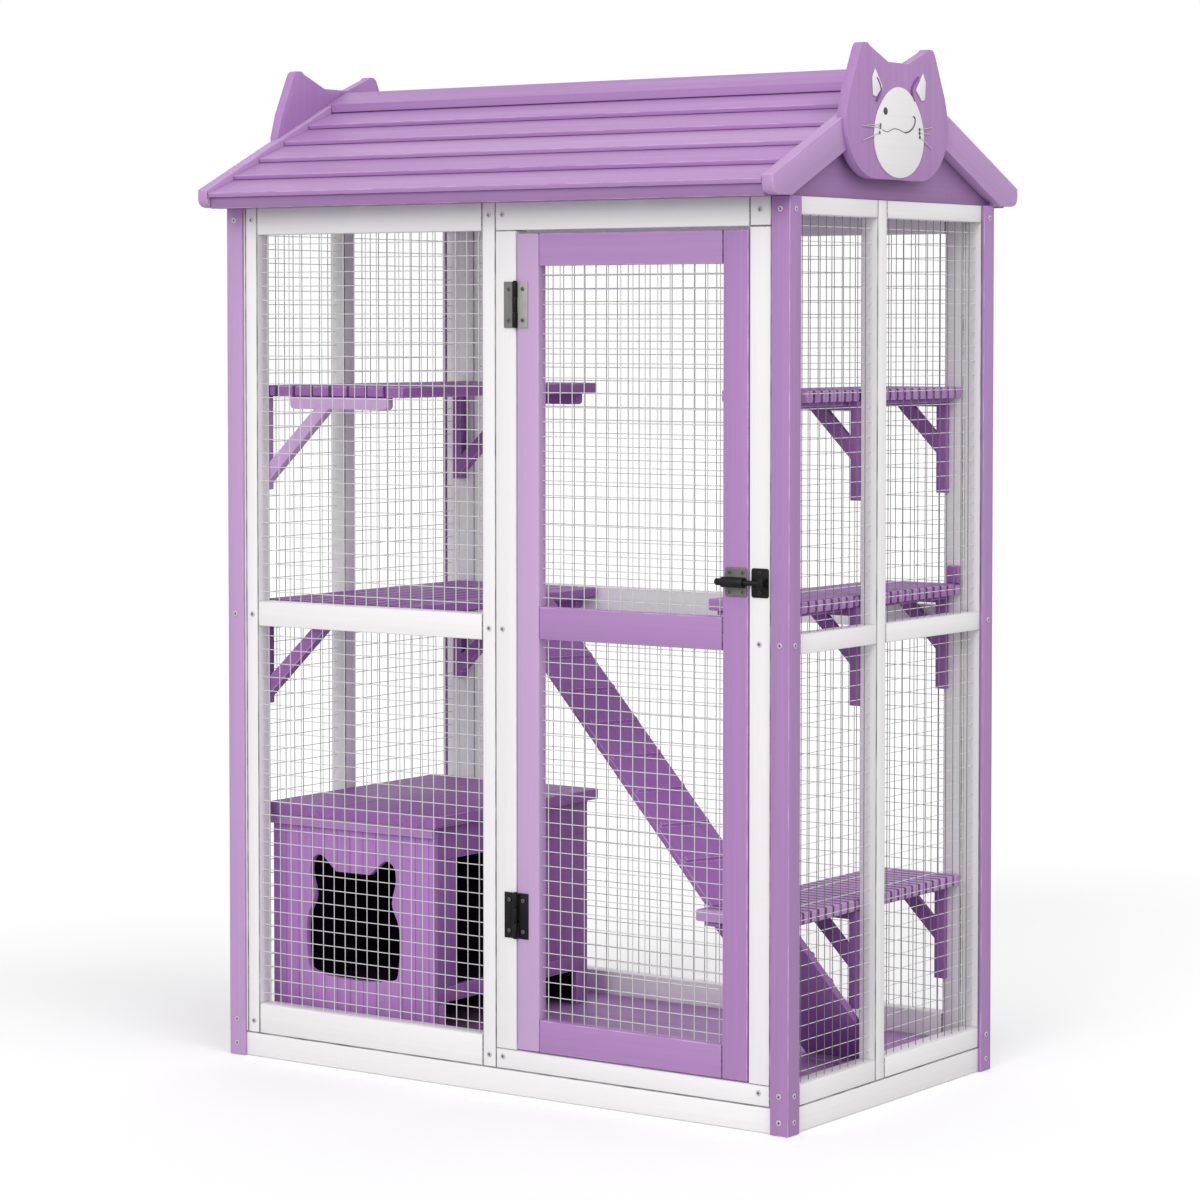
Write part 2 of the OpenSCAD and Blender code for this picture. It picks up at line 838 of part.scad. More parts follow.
// Eyes and mouth on the blaze, and whiskers beside it
module cat_face_marks() {
    mark_t = 1.5;
    x = head_x1 + face_t;
    color(black)
        for (s = [0, 1])
            translate([0, -head_forward, 0])
                mirror([s, 0, 0])
                    for (side = [-1, 1]) {
                        slab_x(x, x + mark_t) {
                            translate([side * 33, chin_z + 17])
                                circle(r = 5);
                            difference() {
                                translate([side * 21, chin_z - 8])
                                    circle(r = 21);
                                translate([side * 21, chin_z - 7])
                                    circle(r = 20);
                                translate([side * 21 - 22, chin_z - 18])
                                    square([44, 40]);
                            }
                        }
                        slab_x(head_x1, head_x1 + mark_t) {
                            polygon([[side * 85, chin_z - 8], [side * 127, chin_z - 3],
                                [side * 127, chin_z - 1],
                                [side * 85, chin_z - 5]]);
                            polygon([[side * 85, chin_z - 23], [side * 124, chin_z - 40],
                                [side * 124, chin_z - 38],
                                [side * 85, chin_z - 20]]);
                        }
                    }
}

// Slats side by side along X, each running front to back
module left_shelf(z) {
    n = floor((left_shelf_w + slat_gap) / (left_slat_w + slat_gap));
    pitch = (left_shelf_w + slat_gap) / n;
    color(purple)
        for (i = [0 : n - 1])
            block([-in_x + i * pitch, -shelf_y1, z - slat_t],
                [-in_x + (i + 1) * pitch - slat_gap, shelf_y1, z]);
}

module upper_left_shelf() { left_shelf(upper_shelf_z); }
module middle_left_shelf() { left_shelf(middle_left_z); }

// Slats side by side along Y, each running across, from y0 to the back
module right_shelf(z, y0) {
    n = floor((shelf_y1 - y0 + slat_gap) / (right_slat_w + slat_gap));
    pitch = (shelf_y1 - y0 + slat_gap) / n;
    color(purple)
        for (i = [0 : n - 1])
            block([right_shelf_x0, y0 + i * pitch, z - slat_t],
                [right_shelf_x0 + right_shelf_w, y0 + (i + 1) * pitch - slat_gap, z]);
}

module upper_right_shelf() { right_shelf(upper_shelf_z, upper_right_y0); }
module middle_right_shelf() { right_shelf(middle_right_z, middle_right_y0); }
module low_platform() { right_shelf(platform_z, platform_y0); }

// Two battens under each right shelf, which its slats are nailed to, cut round the brackets
module shelf_battens() {
    color(purple)
        for (s = [[upper_shelf_z, upper_right_y0], [middle_right_z, middle_right_y0],
            [platform_z, platform_y0]])
            for (x = [right_shelf_x0 + 14, right_shelf_x0 + right_shelf_w - 24 - batten_w])
                for (y = [[s[1] + 6, mullion_y0 - seat],
                        [mullion_y0 + right_bracket_t + seat, in_y - right_bracket_t - seat]])
                    block([x, y[0], s[0] - slat_t - batten_h], [x + batten_w, y[1], s[0] - slat_t]);
}

// A bracket's outline from the wall at 0: upright, bar and brace, with its top at 0
module bracket_outline(bar_from, bar_to, bar, drop, foot, reach) {
    r = 8;
    translate([0, -drop])
        square([bracket_t, drop]);
    translate([bar_from, -bar + r])
        square([bar_to - bar_from, bar - r]);
    translate([bar_from + r, -bar])
        square([bar_to - bar_from - 2 * r, bar]);
    for (x = [bar_from + r, bar_to - r])
        translate([x, -bar + r])
            circle(r = r);
    polygon([[bracket_t - 1, -foot], [bracket_t - 1, -foot + bracket_arm * 1.41],
        [reach - bracket_arm * 0.7, -bar + 1], [reach + bracket_arm * 0.7, -bar + 1]]);
}

module left_brackets() {
    color(purple)
        for (z = [upper_shelf_z, middle_left_z])
            for (y = [-in_y, in_y - bracket_t])
                translate([-in_x, 0, z - slat_t])
                    slab_y(y, y + bracket_t)
                        bracket_outline(left_shelf_w - 260, left_shelf_w - 35, bar_h, left_drop,
                            left_drop - 12,
                            left_drop - bar_h);
}

module right_brackets() {
    color(purple)
        for (z = [upper_shelf_z, middle_right_z, platform_z])
            for (place = [[in_x, mullion_y0], [in_x - rear_bracket_in, in_y - right_bracket_t]])
                translate([place[0], 0, z - slat_t])
                    mirror([1, 0, 0])
                        slab_y(place[1], place[1] + right_bracket_t)
                            bracket_outline(0, right_shelf_w - 29, right_bar_h, right_drop, right_foot,
                                right_foot - right_bar_h + 2);
}

// Small upright cleat that holds the middle right shelf to the back stile
module shelf_cleat() {
    color(purple)
        block([in_x - 26, in_y - 12, middle_right_z], [in_x - 2, in_y, middle_right_z + 32]);
}

// Upper ramp, laid slantwise from the middle left shelf down to the low platform
module upper_ramp() {
    top_y = 63;
    foot_y = -200;
    foot_x = right_shelf_x0 + 8;
    run = sqrt(pow(foot_x - left_shelf_x1, 2) + pow(top_y - foot_y, 2));
    turn = -atan((top_y - foot_y) / (foot_x - left_shelf_x1));
    thick = ramp_t / cos(atan((middle_left_z - platform_z) / run));
    drop = middle_left_z - platform_z - thick;
    pitch = atan(drop / run);
    tread_n = 8;
    color(purple)
        intersection() {
            translate([left_shelf_x1, top_y, middle_left_z])
                rotate([0, 0, turn])
                    rotate([0, pitch, 0]) {
                        translate([-120, -upper_ramp_w / 2, -ramp_t])
                            cube([run / cos(pitch) + 180, upper_ramp_w, ramp_t]);
                        for (i = [1 : tread_n])
                            translate([i * run / cos(pitch) / (tread_n + 1), -upper_ramp_w / 2 + 6, -1])
                                cube([tread_h, upper_ramp_w - 12, tread_h + 1]);
                    }
            block([left_shelf_x1 + fit, -in_y, platform_z + seat], [foot_x + 14, in_y, middle_left_z]);
        }
}

// Lower ramp, leaning under the low platform down to the floor
module lower_ramp() {
    top_y = -243;
    foot_y = 61;
    high = platform_z - slat_t - batten_h - seat;
    x0 = right_shelf_x0 + 6;
    pitch = atan((high - floor_top) / (foot_y - top_y));
    long = (foot_y - top_y) / cos(pitch);
    tread_n = 4;
    color(purple)
        intersection() {
            translate([x0, foot_y, floor_top])
                rotate([-pitch, 0, 0]) {
                    translate([0, -long - 2 * ramp_t, -ramp_t])
                        cube([lower_ramp_w, long + 4 * ramp_t, ramp_t]);
                    for (i = [1 : tread_n])
                        translate([6, -i * long / (tread_n + 1) - tread_h / 2, -1])
                            cube([lower_ramp_w - 12, tread_h, tread_h + 1]);
                }
            block([x0 - 1, -in_y + 1, floor_top + seat], [x0 + lower_ramp_w + 1, in_y, high]);
        }
}

// Right half of the cat-head doorway's outline, from the sill up to the ears
module doorway_half_outline() {
    scale([doorway_half / 110, house_wall_top / 445])
        polygon([[-1, 148], [30, 148.5], [62, 151], [92, 156], [102, 160], [105, 168], [109, 200], [110, 232],
            [108, 252], [103, 268], [95, 283], [91, 296], [93, 310], [98, 326], [101, 342], [99, 357],
                [93, 367],
            [84, 373], [75, 373], [66, 368], [39, 345], [-1, 345]]);
}

// Planked front with the cat-head doorway
module house_front() {
    mid = (house_x0 + house_x1) / 2;
    color(purple)
        difference() {
            slab_y(house_y0, house_y0 + house_t)
                difference() {
                    translate([house_x0, floor_top])
                        square([house_w, house_wall_top - floor_top]);
                    for (s = [0, 1])
                        translate([mid, 0])
                            mirror([s, 0])
                                doorway_half_outline();
                }
            for (x = [house_x0 + groove_pitch : groove_pitch : house_x1 - 8])
                block([x - 1.2, house_y0 - 1, floor_top - 1], [x + 1.2, house_y0 + 1.5, house_wall_top + 1]);
        }
}

module house_left_wall() {
    color(purple)
        block([house_x0, house_y0 + house_t, floor_top],
            [house_x0 + house_t, house_y1 - house_t, house_wall_top]);
}

// Right wall of boards round the side entrance, on two short legs
module house_right_wall() {
    x0 = house_x1 - house_t;
    y0 = house_y0 + house_t;
    y1 = house_y1 - house_t;
    leg = 22;
    color(purple) {
        block([x0, y0, floor_top], [house_x1, y0 + leg, house_gap_z - join]);
        block([x0, y1 - leg, floor_top], [house_x1, y1, house_gap_z - join]);
        block([x0, y0, house_gap_z], [house_x1, y1, side_door_z0 - join]);
        block([x0, y0, side_door_z0], [house_x1, side_door_y0, side_door_z1 - join]);
        block([x0, side_door_y1, side_door_z0], [house_x1, y1, side_door_z1 - join]);
        block([x0, y0, side_door_z1], [house_x1, y1, house_wall_top]);
    }
}

module house_back() {
    color(purple)
        block([house_x0, house_y1 - house_t, floor_top], [house_x1, house_y1, house_wall_top]);
}

module house_floor() {
    color(purple)
        block([house_x0 + house_t, house_y0 + house_t, house_floor_z - house_t],
            [house_x1 - house_t, house_y1 - house_t, house_floor_z]);
}

module house_roof() {
    color(purple)
        block([house_x0, house_y0 - 18, house_wall_top], [house_x1 + house_eave, house_y1 + 13, house_top_z]);
}

// Batten along the front under the roof board
module house_roof_trim() {
    color(purple)
        block([house_x0, house_y0 - 12, house_wall_top - 20], [house_x1 + 4, house_y0, house_wall_top]);
}

// A low screw head whose flat back is on a face that looks along the given direction
module screw_head(place, turn, r = screw_r) {
    translate(place)
        rotate(turn)
            cylinder(r1 = r, r2 = r - 0.7, h = screw_h);
}

// Screws in the posts, panels and surround
module wall_screws() {
    rows = [wall_h - 22, middle_rail_z + 21, skirt_h + 22, skirt_h / 2];
    panel_rows = [wall_h - 22, middle_rail_z + 21, skirt_h + 22];
    color(steel) {
        for (sx = [-1, 1])
            for (sy = [-1, 1])
                for (z = rows) {
                    screw_head([sx * (hw - post_face / 2), sy * hd, z],
                        [sy < 0 ? 90 : -90, 0, 0], frame_screw_r);
                    screw_head([sx * hw, sy * (hd - post_face / 2), z],
                        [0, sx > 0 ? 90 : -90, 0], frame_screw_r);
                }
        for (z = panel_rows) {
            for (x = [-in_x + left_stile_w / 2, surround_x0 - right_stile_w / 2])
                screw_head([x, -face_y, z], [90, 0, 0], frame_screw_r);
            for (x = [surround_x0 + 15, in_x - 22])
                screw_head([x, -face_y, z], [90, 0, 0], frame_screw_r);
            for (x = [-in_x + back_stile_w / 2, in_x - back_stile_w / 2])
                screw_head([x, face_y, z], [-90, 0, 0], frame_screw_r);
        }
    }
}

// Two screws in each hinge leaf on the surround
module hinge_screws() {
    color(steel)
        for (z = [upper_hinge_z, lower_hinge_z])
            for (dz = [-1, 1])
                screw_head([hinge_x - knuckle_r - leaf_w / 2, -face_y - seat - leaf_t,
                    z + dz * hinge_l * 0.34],
                    [90, 0, 0]);
}

// Screws in the door's hinge leaves and in the bolt's plate
module door_hardware_screws() {
    color(steel) {
        for (z = [upper_hinge_z, lower_hinge_z])
            for (dz = [-1, 1])
                screw_head([hinge_x + knuckle_r + leaf_w / 2, -face_y - seat - leaf_t,
                    z + dz * hinge_l * 0.34],
                    [90, 0, 0]);
        for (x = [barrel_x0 + 8, barrel_x1 - 8])
            for (dz = [-1, 1])
                screw_head([x, -face_y - plate_t, bolt_z + dz * (plate_h / 2 - 8)], [90, 0, 0]);
    }
}

module keeper_screws() {
    color(steel)
        for (dz = [-1, 1])
            screw_head([keeper_x0 + keeper_w / 2, -face_y - plate_t, bolt_z + dz * (plate_h / 2 - 8)],
                [90, 0, 0]);
}

post_front_left();
post_front_right();
post_back_left();
post_back_right();
front_left_panel();
door_surround();
left_side_panel();
right_side_panel();
back_panel();
skirt_boards();
floor_bearers();
floor_boards();
front_mesh();
left_mesh();
right_mesh();
back_mesh();
door_stiles_and_rails();
door_mesh();
hinge_frame_leaves();
hinge_door_leaves();
hinge_pins();
bolt_plate_and_barrel();
bolt_rod();
bolt_keeper();
front_roof_boards();
back_roof_boards();
eave_strips();
ridge_cap();
ridge_beam();
rafters();
left_barge_boards();
right_barge_boards();
left_gable_panel();
right_gable_panel();
left_cat_head();
right_cat_head();
cat_face_whites();
cat_face_marks();
upper_left_shelf();
middle_left_shelf();
upper_right_shelf();
middle_right_shelf();
low_platform();
shelf_battens();
left_brackets();
right_brackets();
shelf_cleat();
upper_ramp();
lower_ramp();
house_front();
house_left_wall();
house_right_wall();
house_back();
house_floor();
house_roof();
house_roof_trim();
wall_screws();
hinge_screws();
door_hardware_screws();
keeper_screws();
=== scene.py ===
# %% [markdown]
# Outdoor cat enclosure: a tall timber frame with wire windows, a hinged door, a lapped roof,
# shelves, ramps and a small cat house. The imported model holds the joinery to the millimetre,
# so this lesson loads it first and then dresses each piece: planed boards get their softened
# edges, grain and paint, the windows get their full welded mesh, and the fittings their screws.
# The dressed object must not grow past it.

# %% Load the imported model
import math
import bpy
import numpy as np
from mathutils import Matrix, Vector
from mathutils.bvhtree import BVHTree


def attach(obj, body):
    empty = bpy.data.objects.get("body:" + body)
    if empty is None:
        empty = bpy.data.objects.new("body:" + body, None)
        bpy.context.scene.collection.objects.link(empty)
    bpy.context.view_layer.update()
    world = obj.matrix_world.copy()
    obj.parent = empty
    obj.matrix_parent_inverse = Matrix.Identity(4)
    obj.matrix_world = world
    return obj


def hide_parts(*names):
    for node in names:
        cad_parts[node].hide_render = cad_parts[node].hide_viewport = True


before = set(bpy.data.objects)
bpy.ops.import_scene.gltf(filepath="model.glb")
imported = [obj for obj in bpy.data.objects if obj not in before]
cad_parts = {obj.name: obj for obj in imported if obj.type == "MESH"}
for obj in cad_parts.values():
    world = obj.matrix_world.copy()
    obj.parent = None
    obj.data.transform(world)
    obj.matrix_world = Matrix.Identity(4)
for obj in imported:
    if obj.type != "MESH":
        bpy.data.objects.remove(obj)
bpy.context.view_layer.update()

# %% [markdown]
# The camera stands where the photographer stood: well back, to the right of the front, and a
# little above the middle of the door. The posts look parallel in the photograph, as they do
# when a camera is held level and its lens is shifted down. A large shift would push the object
# out of the frame when the camera moves to another side, so the lens is shifted a tenth of the
# frame and the rest is a slight tilt. The place was solved from the corners of the posts and roof.

# %% Camera
LENS_MM = 109.296
LENS_SHIFT = -0.1
CAMERA_PLACE = (3.81210, -5.41625, 1.34804)
TILT_DOWN = 2.4468
TURN_LEFT = 35.2381

camera_data = bpy.data.cameras.new("camera")
camera_data.lens = LENS_MM
camera_data.sensor_width = 36
camera_data.shift_y = LENS_SHIFT
camera = bpy.data.objects.new("camera", camera_data)
camera.location = CAMERA_PLACE
camera.rotation_euler = (math.radians(90 - TILT_DOWN), 0, math.radians(TURN_LEFT))
bpy.context.scene.collection.objects.link(camera)
bpy.context.scene.camera = camera
print("camera at", tuple(camera.location))

# %% [markdown]
# Plain studio light. A pale world lights every side evenly, as a white room does. Two broad suns,
# a low one from the front and a higher one from the right, give each side its own level and reach
# the boards under the eaves, and a faint third one lifts the back. One strong lamp would be
# simpler, but it would throw hard shadows that the photograph hasn't got. The levels are kept so
# that a painted colour comes out about as it is written. Seen directly or in a reflection the
# world is plain white, as the photograph is behind the object.

# %% Light and background
ROOM_LEVEL = 0.57
WHITE = (1, 1, 1, 1)

scene = bpy.context.scene
scene.view_settings.view_transform = "Standard"
world = bpy.data.worlds.new("studio")
scene.world = world
world.use_nodes = True
tree = world.node_tree
tree.nodes.clear()
world_out = tree.nodes.new("ShaderNodeOutputWorld")
room = tree.nodes.new("ShaderNodeBackground")
room.inputs["Color"].default_value = WHITE
room.inputs["Strength"].default_value = ROOM_LEVEL
backdrop = tree.nodes.new("ShaderNodeBackground")
backdrop.inputs["Color"].default_value = WHITE
backdrop.inputs["Strength"].default_value = 1
path = tree.nodes.new("ShaderNodeLightPath")
seen = tree.nodes.new("ShaderNodeMath")
seen.operation = "MAXIMUM"
tree.links.new(path.outputs["Is Camera Ray"], seen.inputs[0])
tree.links.new(path.outputs["Is Glossy Ray"], seen.inputs[1])
seen_through = tree.nodes.new("ShaderNodeMath")
seen_through.operation = "MAXIMUM"
tree.links.new(seen.outputs[0], seen_through.inputs[0])
tree.links.new(path.outputs["Is Transmission Ray"], seen_through.inputs[1])
mix = tree.nodes.new("ShaderNodeMixShader")
tree.links.new(seen_through.outputs[0], mix.inputs[0])
tree.links.new(room.outputs[0], mix.inputs[1])
tree.links.new(backdrop.outputs[0], mix.inputs[2])
tree.links.new(mix.outputs[0], world_out.inputs["Surface"])


def soft_sun(name, azimuth, elevation, power, softness):
    """A broad sun: azimuth in degrees to the right of the front, elevation above the floor."""
    lamp = bpy.data.lights.new(name, "SUN")
    lamp.energy = power
    lamp.angle = math.radians(softness)
    lamp_object = bpy.data.objects.new(name, lamp)
    lamp_object.rotation_euler = (math.radians(90 - elevation), 0, math.radians(azimuth))
    scene.collection.objects.link(lamp_object)
    print("sun", name, power)


soft_sun("key", azimuth=8, elevation=24, power=1.28, softness=40)
soft_sun("fill", azimuth=80, elevation=42, power=0.88, softness=50)
soft_sun("back", azimuth=205, elevation=30, power=0.35, softness=60)
print("world", ROOM_LEVEL)

# %% [markdown]
# Every surface that is new here starts from a tool of the Add menu and is shaped in edit mode.
# An operator works on all that is selected, so these small helpers first drop any selection.
# They also name what an operator made and leave each object at the origin, unturned and unscaled.

# %% Helpers for working by hand
def alone(piece):
    """Selects one object and nothing else."""
    bpy.ops.object.select_all(action="DESELECT")
    piece.select_set(True)
    bpy.context.view_layer.objects.active = piece


def added(name):
    """Names the object that an Add operator just made."""
    piece = bpy.context.object
    piece.name = name
    piece.data.name = name
    return piece


def settle(piece):
    """Puts an object's place into its mesh, so that the object itself is at the origin."""
    alone(piece)
    bpy.ops.object.transform_apply(location=True, rotation=True, scale=True)
    return piece


def stands_for(piece, node, body):
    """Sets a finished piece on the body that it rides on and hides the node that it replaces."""
    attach(piece, body)
    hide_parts(node)


print("nodes in the model:", len(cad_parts))

# %% [markdown]
# The studio floor is one large white disc, so no edge shows in any view. It catches the soft
# shadow under the enclosure, which is all that stands between the object and the white. A grid
# of tiles or a curved backdrop would also do, but the photograph shows neither. The camera sees
# it white, while the light that it throws back up is a little weaker, so undersides stay dark.

# %% Floor
FLOOR_R = 40
FLOOR_Z = -0.0005
FLOOR_THROWN = 0.6
FLOOR_GLOW = 0.09

bpy.ops.mesh.primitive_circle_add(vertices=96, radius=FLOOR_R, fill_type="NGON", location=(0, 0, FLOOR_Z))
floor = settle(added("floor"))
floor_paint = bpy.data.materials.new("floor_white")
floor_paint.use_nodes = True
floor_shader = floor_paint.node_tree.nodes["Principled BSDF"]
floor_tree = floor_paint.node_tree
floor_seen = floor_tree.nodes.new("ShaderNodeLightPath")
floor_white = floor_tree.nodes.new("ShaderNodeMapRange")
floor_white.inputs["To Min"].default_value = FLOOR_THROWN
floor_white.inputs["To Max"].default_value = 1
floor_tree.links.new(floor_seen.outputs["Is Camera Ray"], floor_white.inputs["Value"])
floor_tree.links.new(floor_white.outputs[0], floor_shader.inputs["Base Color"])
floor_shader.inputs["Roughness"].default_value = 1
floor_shader.inputs["Specular IOR Level"].default_value = 0
floor_shader.inputs["Emission Color"].default_value = WHITE
floor_shader.inputs["Emission Strength"].default_value = FLOOR_GLOW
floor.data.materials.append(floor_paint)
print("floor", len(floor.data.polygons), "face")

# %% [markdown]
# A finish is a graph of nodes. Each helper here makes one kind of node and wires it up, so that a
# finish further down reads like a recipe. Colours are written as a screen shows them, 0 to 255,
# because that is how they are read off a photograph, and are turned into light before use.

# %% Node helpers
def linear(red, green, blue):
    """Turns a colour as a screen shows it, 0 to 255, into the light that a shader works in."""
    def one(value):
        value /= 255
        return value / 12.92 if value <= 0.04045 else ((value + 0.055) / 1.055) ** 2.4
    return (one(red), one(green), one(blue), 1)


def shade(colour, share):
    """The same colour, darker or lighter by a share."""
    return tuple(channel * share for channel in colour[:3]) + (1,)


def new_material(name):
    """A new material with its node tree and its shader."""
    material = bpy.data.materials.new(name)
    material.use_nodes = True
    return material, material.node_tree, material.node_tree.nodes["Principled BSDF"]


def attribute(tree, name):
    """Reads numbers that were written on a mesh."""
    node = tree.nodes.new("ShaderNodeAttribute")
    node.attribute_type = "GEOMETRY"
    node.attribute_name = name
    return node


def noise(tree, vector, stretch, detail, roughness):
    """A noise pattern on stretched coordinates: small numbers make long streaks."""
    mapping = tree.nodes.new("ShaderNodeMapping")
    mapping.inputs["Scale"].default_value = stretch
    tree.links.new(vector, mapping.inputs["Vector"])
    texture = tree.nodes.new("ShaderNodeTexNoise")
    texture.inputs["Scale"].default_value = 1
    texture.inputs["Detail"].default_value = detail
    texture.inputs["Roughness"].default_value = roughness
    tree.links.new(mapping.outputs[0], texture.inputs["Vector"])
    return texture.outputs["Fac"]


def spread(tree, value, low, high, to_low, to_high):
    """Stretches one range of a value over another, held at its ends."""
    node = tree.nodes.new("ShaderNodeMapRange")
    limits = {"From Min": low, "From Max": high, "To Min": to_low, "To Max": to_high}
    for socket, number in limits.items():
        node.inputs[socket].default_value = number
    tree.links.new(value, node.inputs["Value"])
    return node.outputs[0]


def blend(tree, factor, first, second, kind="MIX"):
    """Mixes two colours, each a colour or the output of a node: sockets 0, 6 and 7 take them."""
    node = tree.nodes.new("ShaderNodeMix")
    node.data_type = "RGBA"
    node.blend_type = kind
    for number, value in ((0, factor), (6, first), (7, second)):
        if isinstance(value, (tuple, float, int)):
            node.inputs[number].default_value = value
        else:
            tree.links.new(value, node.inputs[number])
    return node.outputs[2]


def bump(tree, height, strength, distance, before=None):
    """Fine relief from a pattern, laid over an earlier relief if there is one."""
    node = tree.nodes.new("ShaderNodeBump")
    node.inputs["Strength"].default_value = strength
    node.inputs["Distance"].default_value = distance
    tree.links.new(height, node.inputs["Height"])
    if before is not None:
        tree.links.new(before, node.inputs["Normal"])
    return node.outputs[0]


def multiplied(tree, first, second):
    """The product of two node outputs."""
    node = tree.nodes.new("ShaderNodeMath")
    node.operation = "MULTIPLY"
    tree.links.new(first, node.inputs[0])
    tree.links.new(second, node.inputs[1])
    return node.outputs[0]


print("mid grey as light", round(linear(128, 128, 128)[0], 3))

# %% [markdown]
# Painted timber. The boards of the real enclosure are planed fir under one coat of water-based
# paint, so the grain still shows as faint long streaks and each board takes the colour a little
# differently. The rounded edges are painted in a colour of their own: a painted highlight on purple
# boards and a faint painted shade on white ones. A picture of wood could be wrapped round each
# board, but a procedural grain needs no picture and never repeats. It reads an attribute named
# grain, which holds for every board its own length, width and thickness direction.

# %% Paint
def paint(name, colour, grain_depth, painted_edge_light, seam_colour, pale,
          roughness=0.5, tone_range=0.045, shine=0.22, dark_inside=None):
    """Satin paint on planed wood, with grain, a tone for each board and painted light on its edges.

    A board's tone runs from -2, the deepest, over 0.5, plain, to 3, half way to pale."""
    material, tree, shader = new_material(name)
    grain = attribute(tree, "grain").outputs["Vector"]
    tone = attribute(tree, "board_tone").outputs["Fac"]
    edge = attribute(tree, "edge").outputs["Fac"]
    seam = attribute(tree, "seam").outputs["Fac"]
    streaks = noise(tree, grain, (2.2, 130, 130), 5, 0.6)
    broad = noise(tree, grain, (1.3, 16, 16), 3, 0.5)
    fibre = noise(tree, grain, (14, 620, 620), 3, 0.6)
    early_wood = shade(colour, 1 + grain_depth * 0.55)
    late_wood = shade(colour, 1 - grain_depth)
    body = blend(tree, spread(tree, streaks, 0.32, 0.68, 0, 1), late_wood, early_wood)
    body = blend(tree, spread(tree, broad, 0.3, 0.7, 0, 0.5), body, shade(colour, 1 - grain_depth * 0.9))
    level = spread(tree, tone, -2, 1, 1 - 5 * tone_range, 1 + tone_range)
    body = blend(tree, 1.0, body, level, "MULTIPLY")
    body = blend(tree, spread(tree, tone, 1, 3, 0, 0.54), body, pale)
    # The rounded edges are painted in their own colour, broken up by a noise: a painted highlight on purple
    # boards and a faint painted shade on white ones.
    edge_breakup = noise(tree, grain, (26, 260, 260), 2, 0.5)
    edge_light_mask = multiplied(tree, edge, spread(tree, edge_breakup, 0.42, 0.62, 0.12, 0.8))
    body = blend(tree, edge_light_mask, body, painted_edge_light)
    in_shadow = multiplied(tree, seam, spread(tree, edge_breakup, 0.35, 0.65, 0.95, 0.55))
    body = blend(tree, in_shadow, body, seam_colour)
    if dark_inside is not None:
        body = blend(tree, attribute(tree, "inside").outputs["Fac"], body, dark_inside)
    tree.links.new(body, shader.inputs["Base Color"])
    rough = spread(tree, streaks, 0.3, 0.7, roughness + 0.09, roughness - 0.05)
    tree.links.new(rough, shader.inputs["Roughness"])
    shader.inputs["Specular IOR Level"].default_value = shine
    relief = bump(tree, streaks, 0.22, 0.0012)
    tree.links.new(bump(tree, fibre, 0.12, 0.0004, relief), shader.inputs["Normal"])
    return material


purple = linear(176, 135, 189)
# A deeper purple for the pieces inside and the house: a shaded copy of the paint, as painted shade.
shaded_purple = linear(172, 119, 190)
room_dark = linear(30, 18, 36)
purple_edge_seam_pale = (linear(208, 175, 219), linear(84, 54, 94), linear(222, 198, 228))
purple_paint = paint("purple_paint", purple, 0.07, *purple_edge_seam_pale)
shaded_purple_paint = paint("shaded_purple_paint", shaded_purple, 0.09, *purple_edge_seam_pale, shine=0.1)
house_paint = paint("house_paint", shaded_purple, 0.16, *purple_edge_seam_pale, shine=0.1,
                    dark_inside=room_dark)

white = linear(241, 239, 240)
white_edge_seam_pale = (linear(226, 224, 226), linear(104, 102, 104), linear(246, 245, 245))
white_paint = paint("white_paint", white, 0.03, *white_edge_seam_pale,
                    roughness=0.45, tone_range=0.02, shine=0.35)
print("paints", purple_paint.name, house_paint.name, white_paint.name)

# %% [markdown]
# An edge that lies against another board takes no painted highlight: the seam there stays dark. A
# tree of all the model's triangles tells whether another face looks back at an edge from close by.
# Dark lines could be modelled as grooves, but a colour is enough for a joint of a fifth of a
# millimetre.

# %% Seams between boards
SEAM_REACH = 0.0017
SLAT_REACH = 0.0048
LOOKS_BACK = -0.3

corners, triangles = [], []
for node_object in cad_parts.values():
    base = len(corners)
    corners += [tuple(vertex.co) for vertex in node_object.data.vertices]
    triangles += [[base + index for index in face.vertices] for face in node_object.data.polygons]
all_surfaces = BVHTree.FromPolygons(corners, triangles)
print("model surface", len(triangles), "faces")


def in_seam(middle, normal, reach):
    """True where a face of another board looks back at this edge from within reach."""
    near = all_surfaces.find_nearest_range(middle, reach)
    return any(normal.dot(other) < LOOKS_BACK for place, other, index, distance in near)


# %% [markdown]
# A board as it leaves the planer has softened edges. The model has each board as a plain solid,
# so a board here starts as a copy of that solid: its loose triangles are merged, flat faces are
# cleared of needless edges, and an applied Bevel rounds all edges. Each could be drawn anew from a
# cube, but then its notches and places would have to be measured twice.

# %% Softened copies of the model
MERGE_WITHIN = 0.00002
FLAT_WITHIN = 1


def copy_of(node, name):
    """A merged copy of a node of the model, ready to be shaped."""
    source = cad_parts[node]
    piece = bpy.data.objects.new(name, source.data.copy())
    scene.collection.objects.link(piece)
    piece.data.materials.clear()
    alone(piece)
    bpy.ops.object.mode_set(mode="EDIT")
    bpy.ops.mesh.select_all(action="SELECT")
    bpy.ops.mesh.remove_doubles(threshold=MERGE_WITHIN)
    bpy.ops.mesh.dissolve_limited(angle_limit=math.radians(FLAT_WITHIN))
    bpy.ops.object.mode_set(mode="OBJECT")
    return piece


def apply_all(piece):
    """Applies an object's modifiers from the top down."""
    alone(piece)
    for modifier in list(piece.modifiers):
        bpy.ops.object.modifier_apply(modifier=modifier.name)
    return piece


def soften(piece, width, angle=35, slot=-1):
    """Rounds off the edges of a piece with an applied Bevel modifier."""
    bevel = piece.modifiers.new("Bevel", "BEVEL")
    bevel.material = slot
    bevel.width = width
    bevel.segments = 2
    bevel.limit_method = "ANGLE"
    bevel.angle_limit = math.radians(angle)
    apply_all(piece)


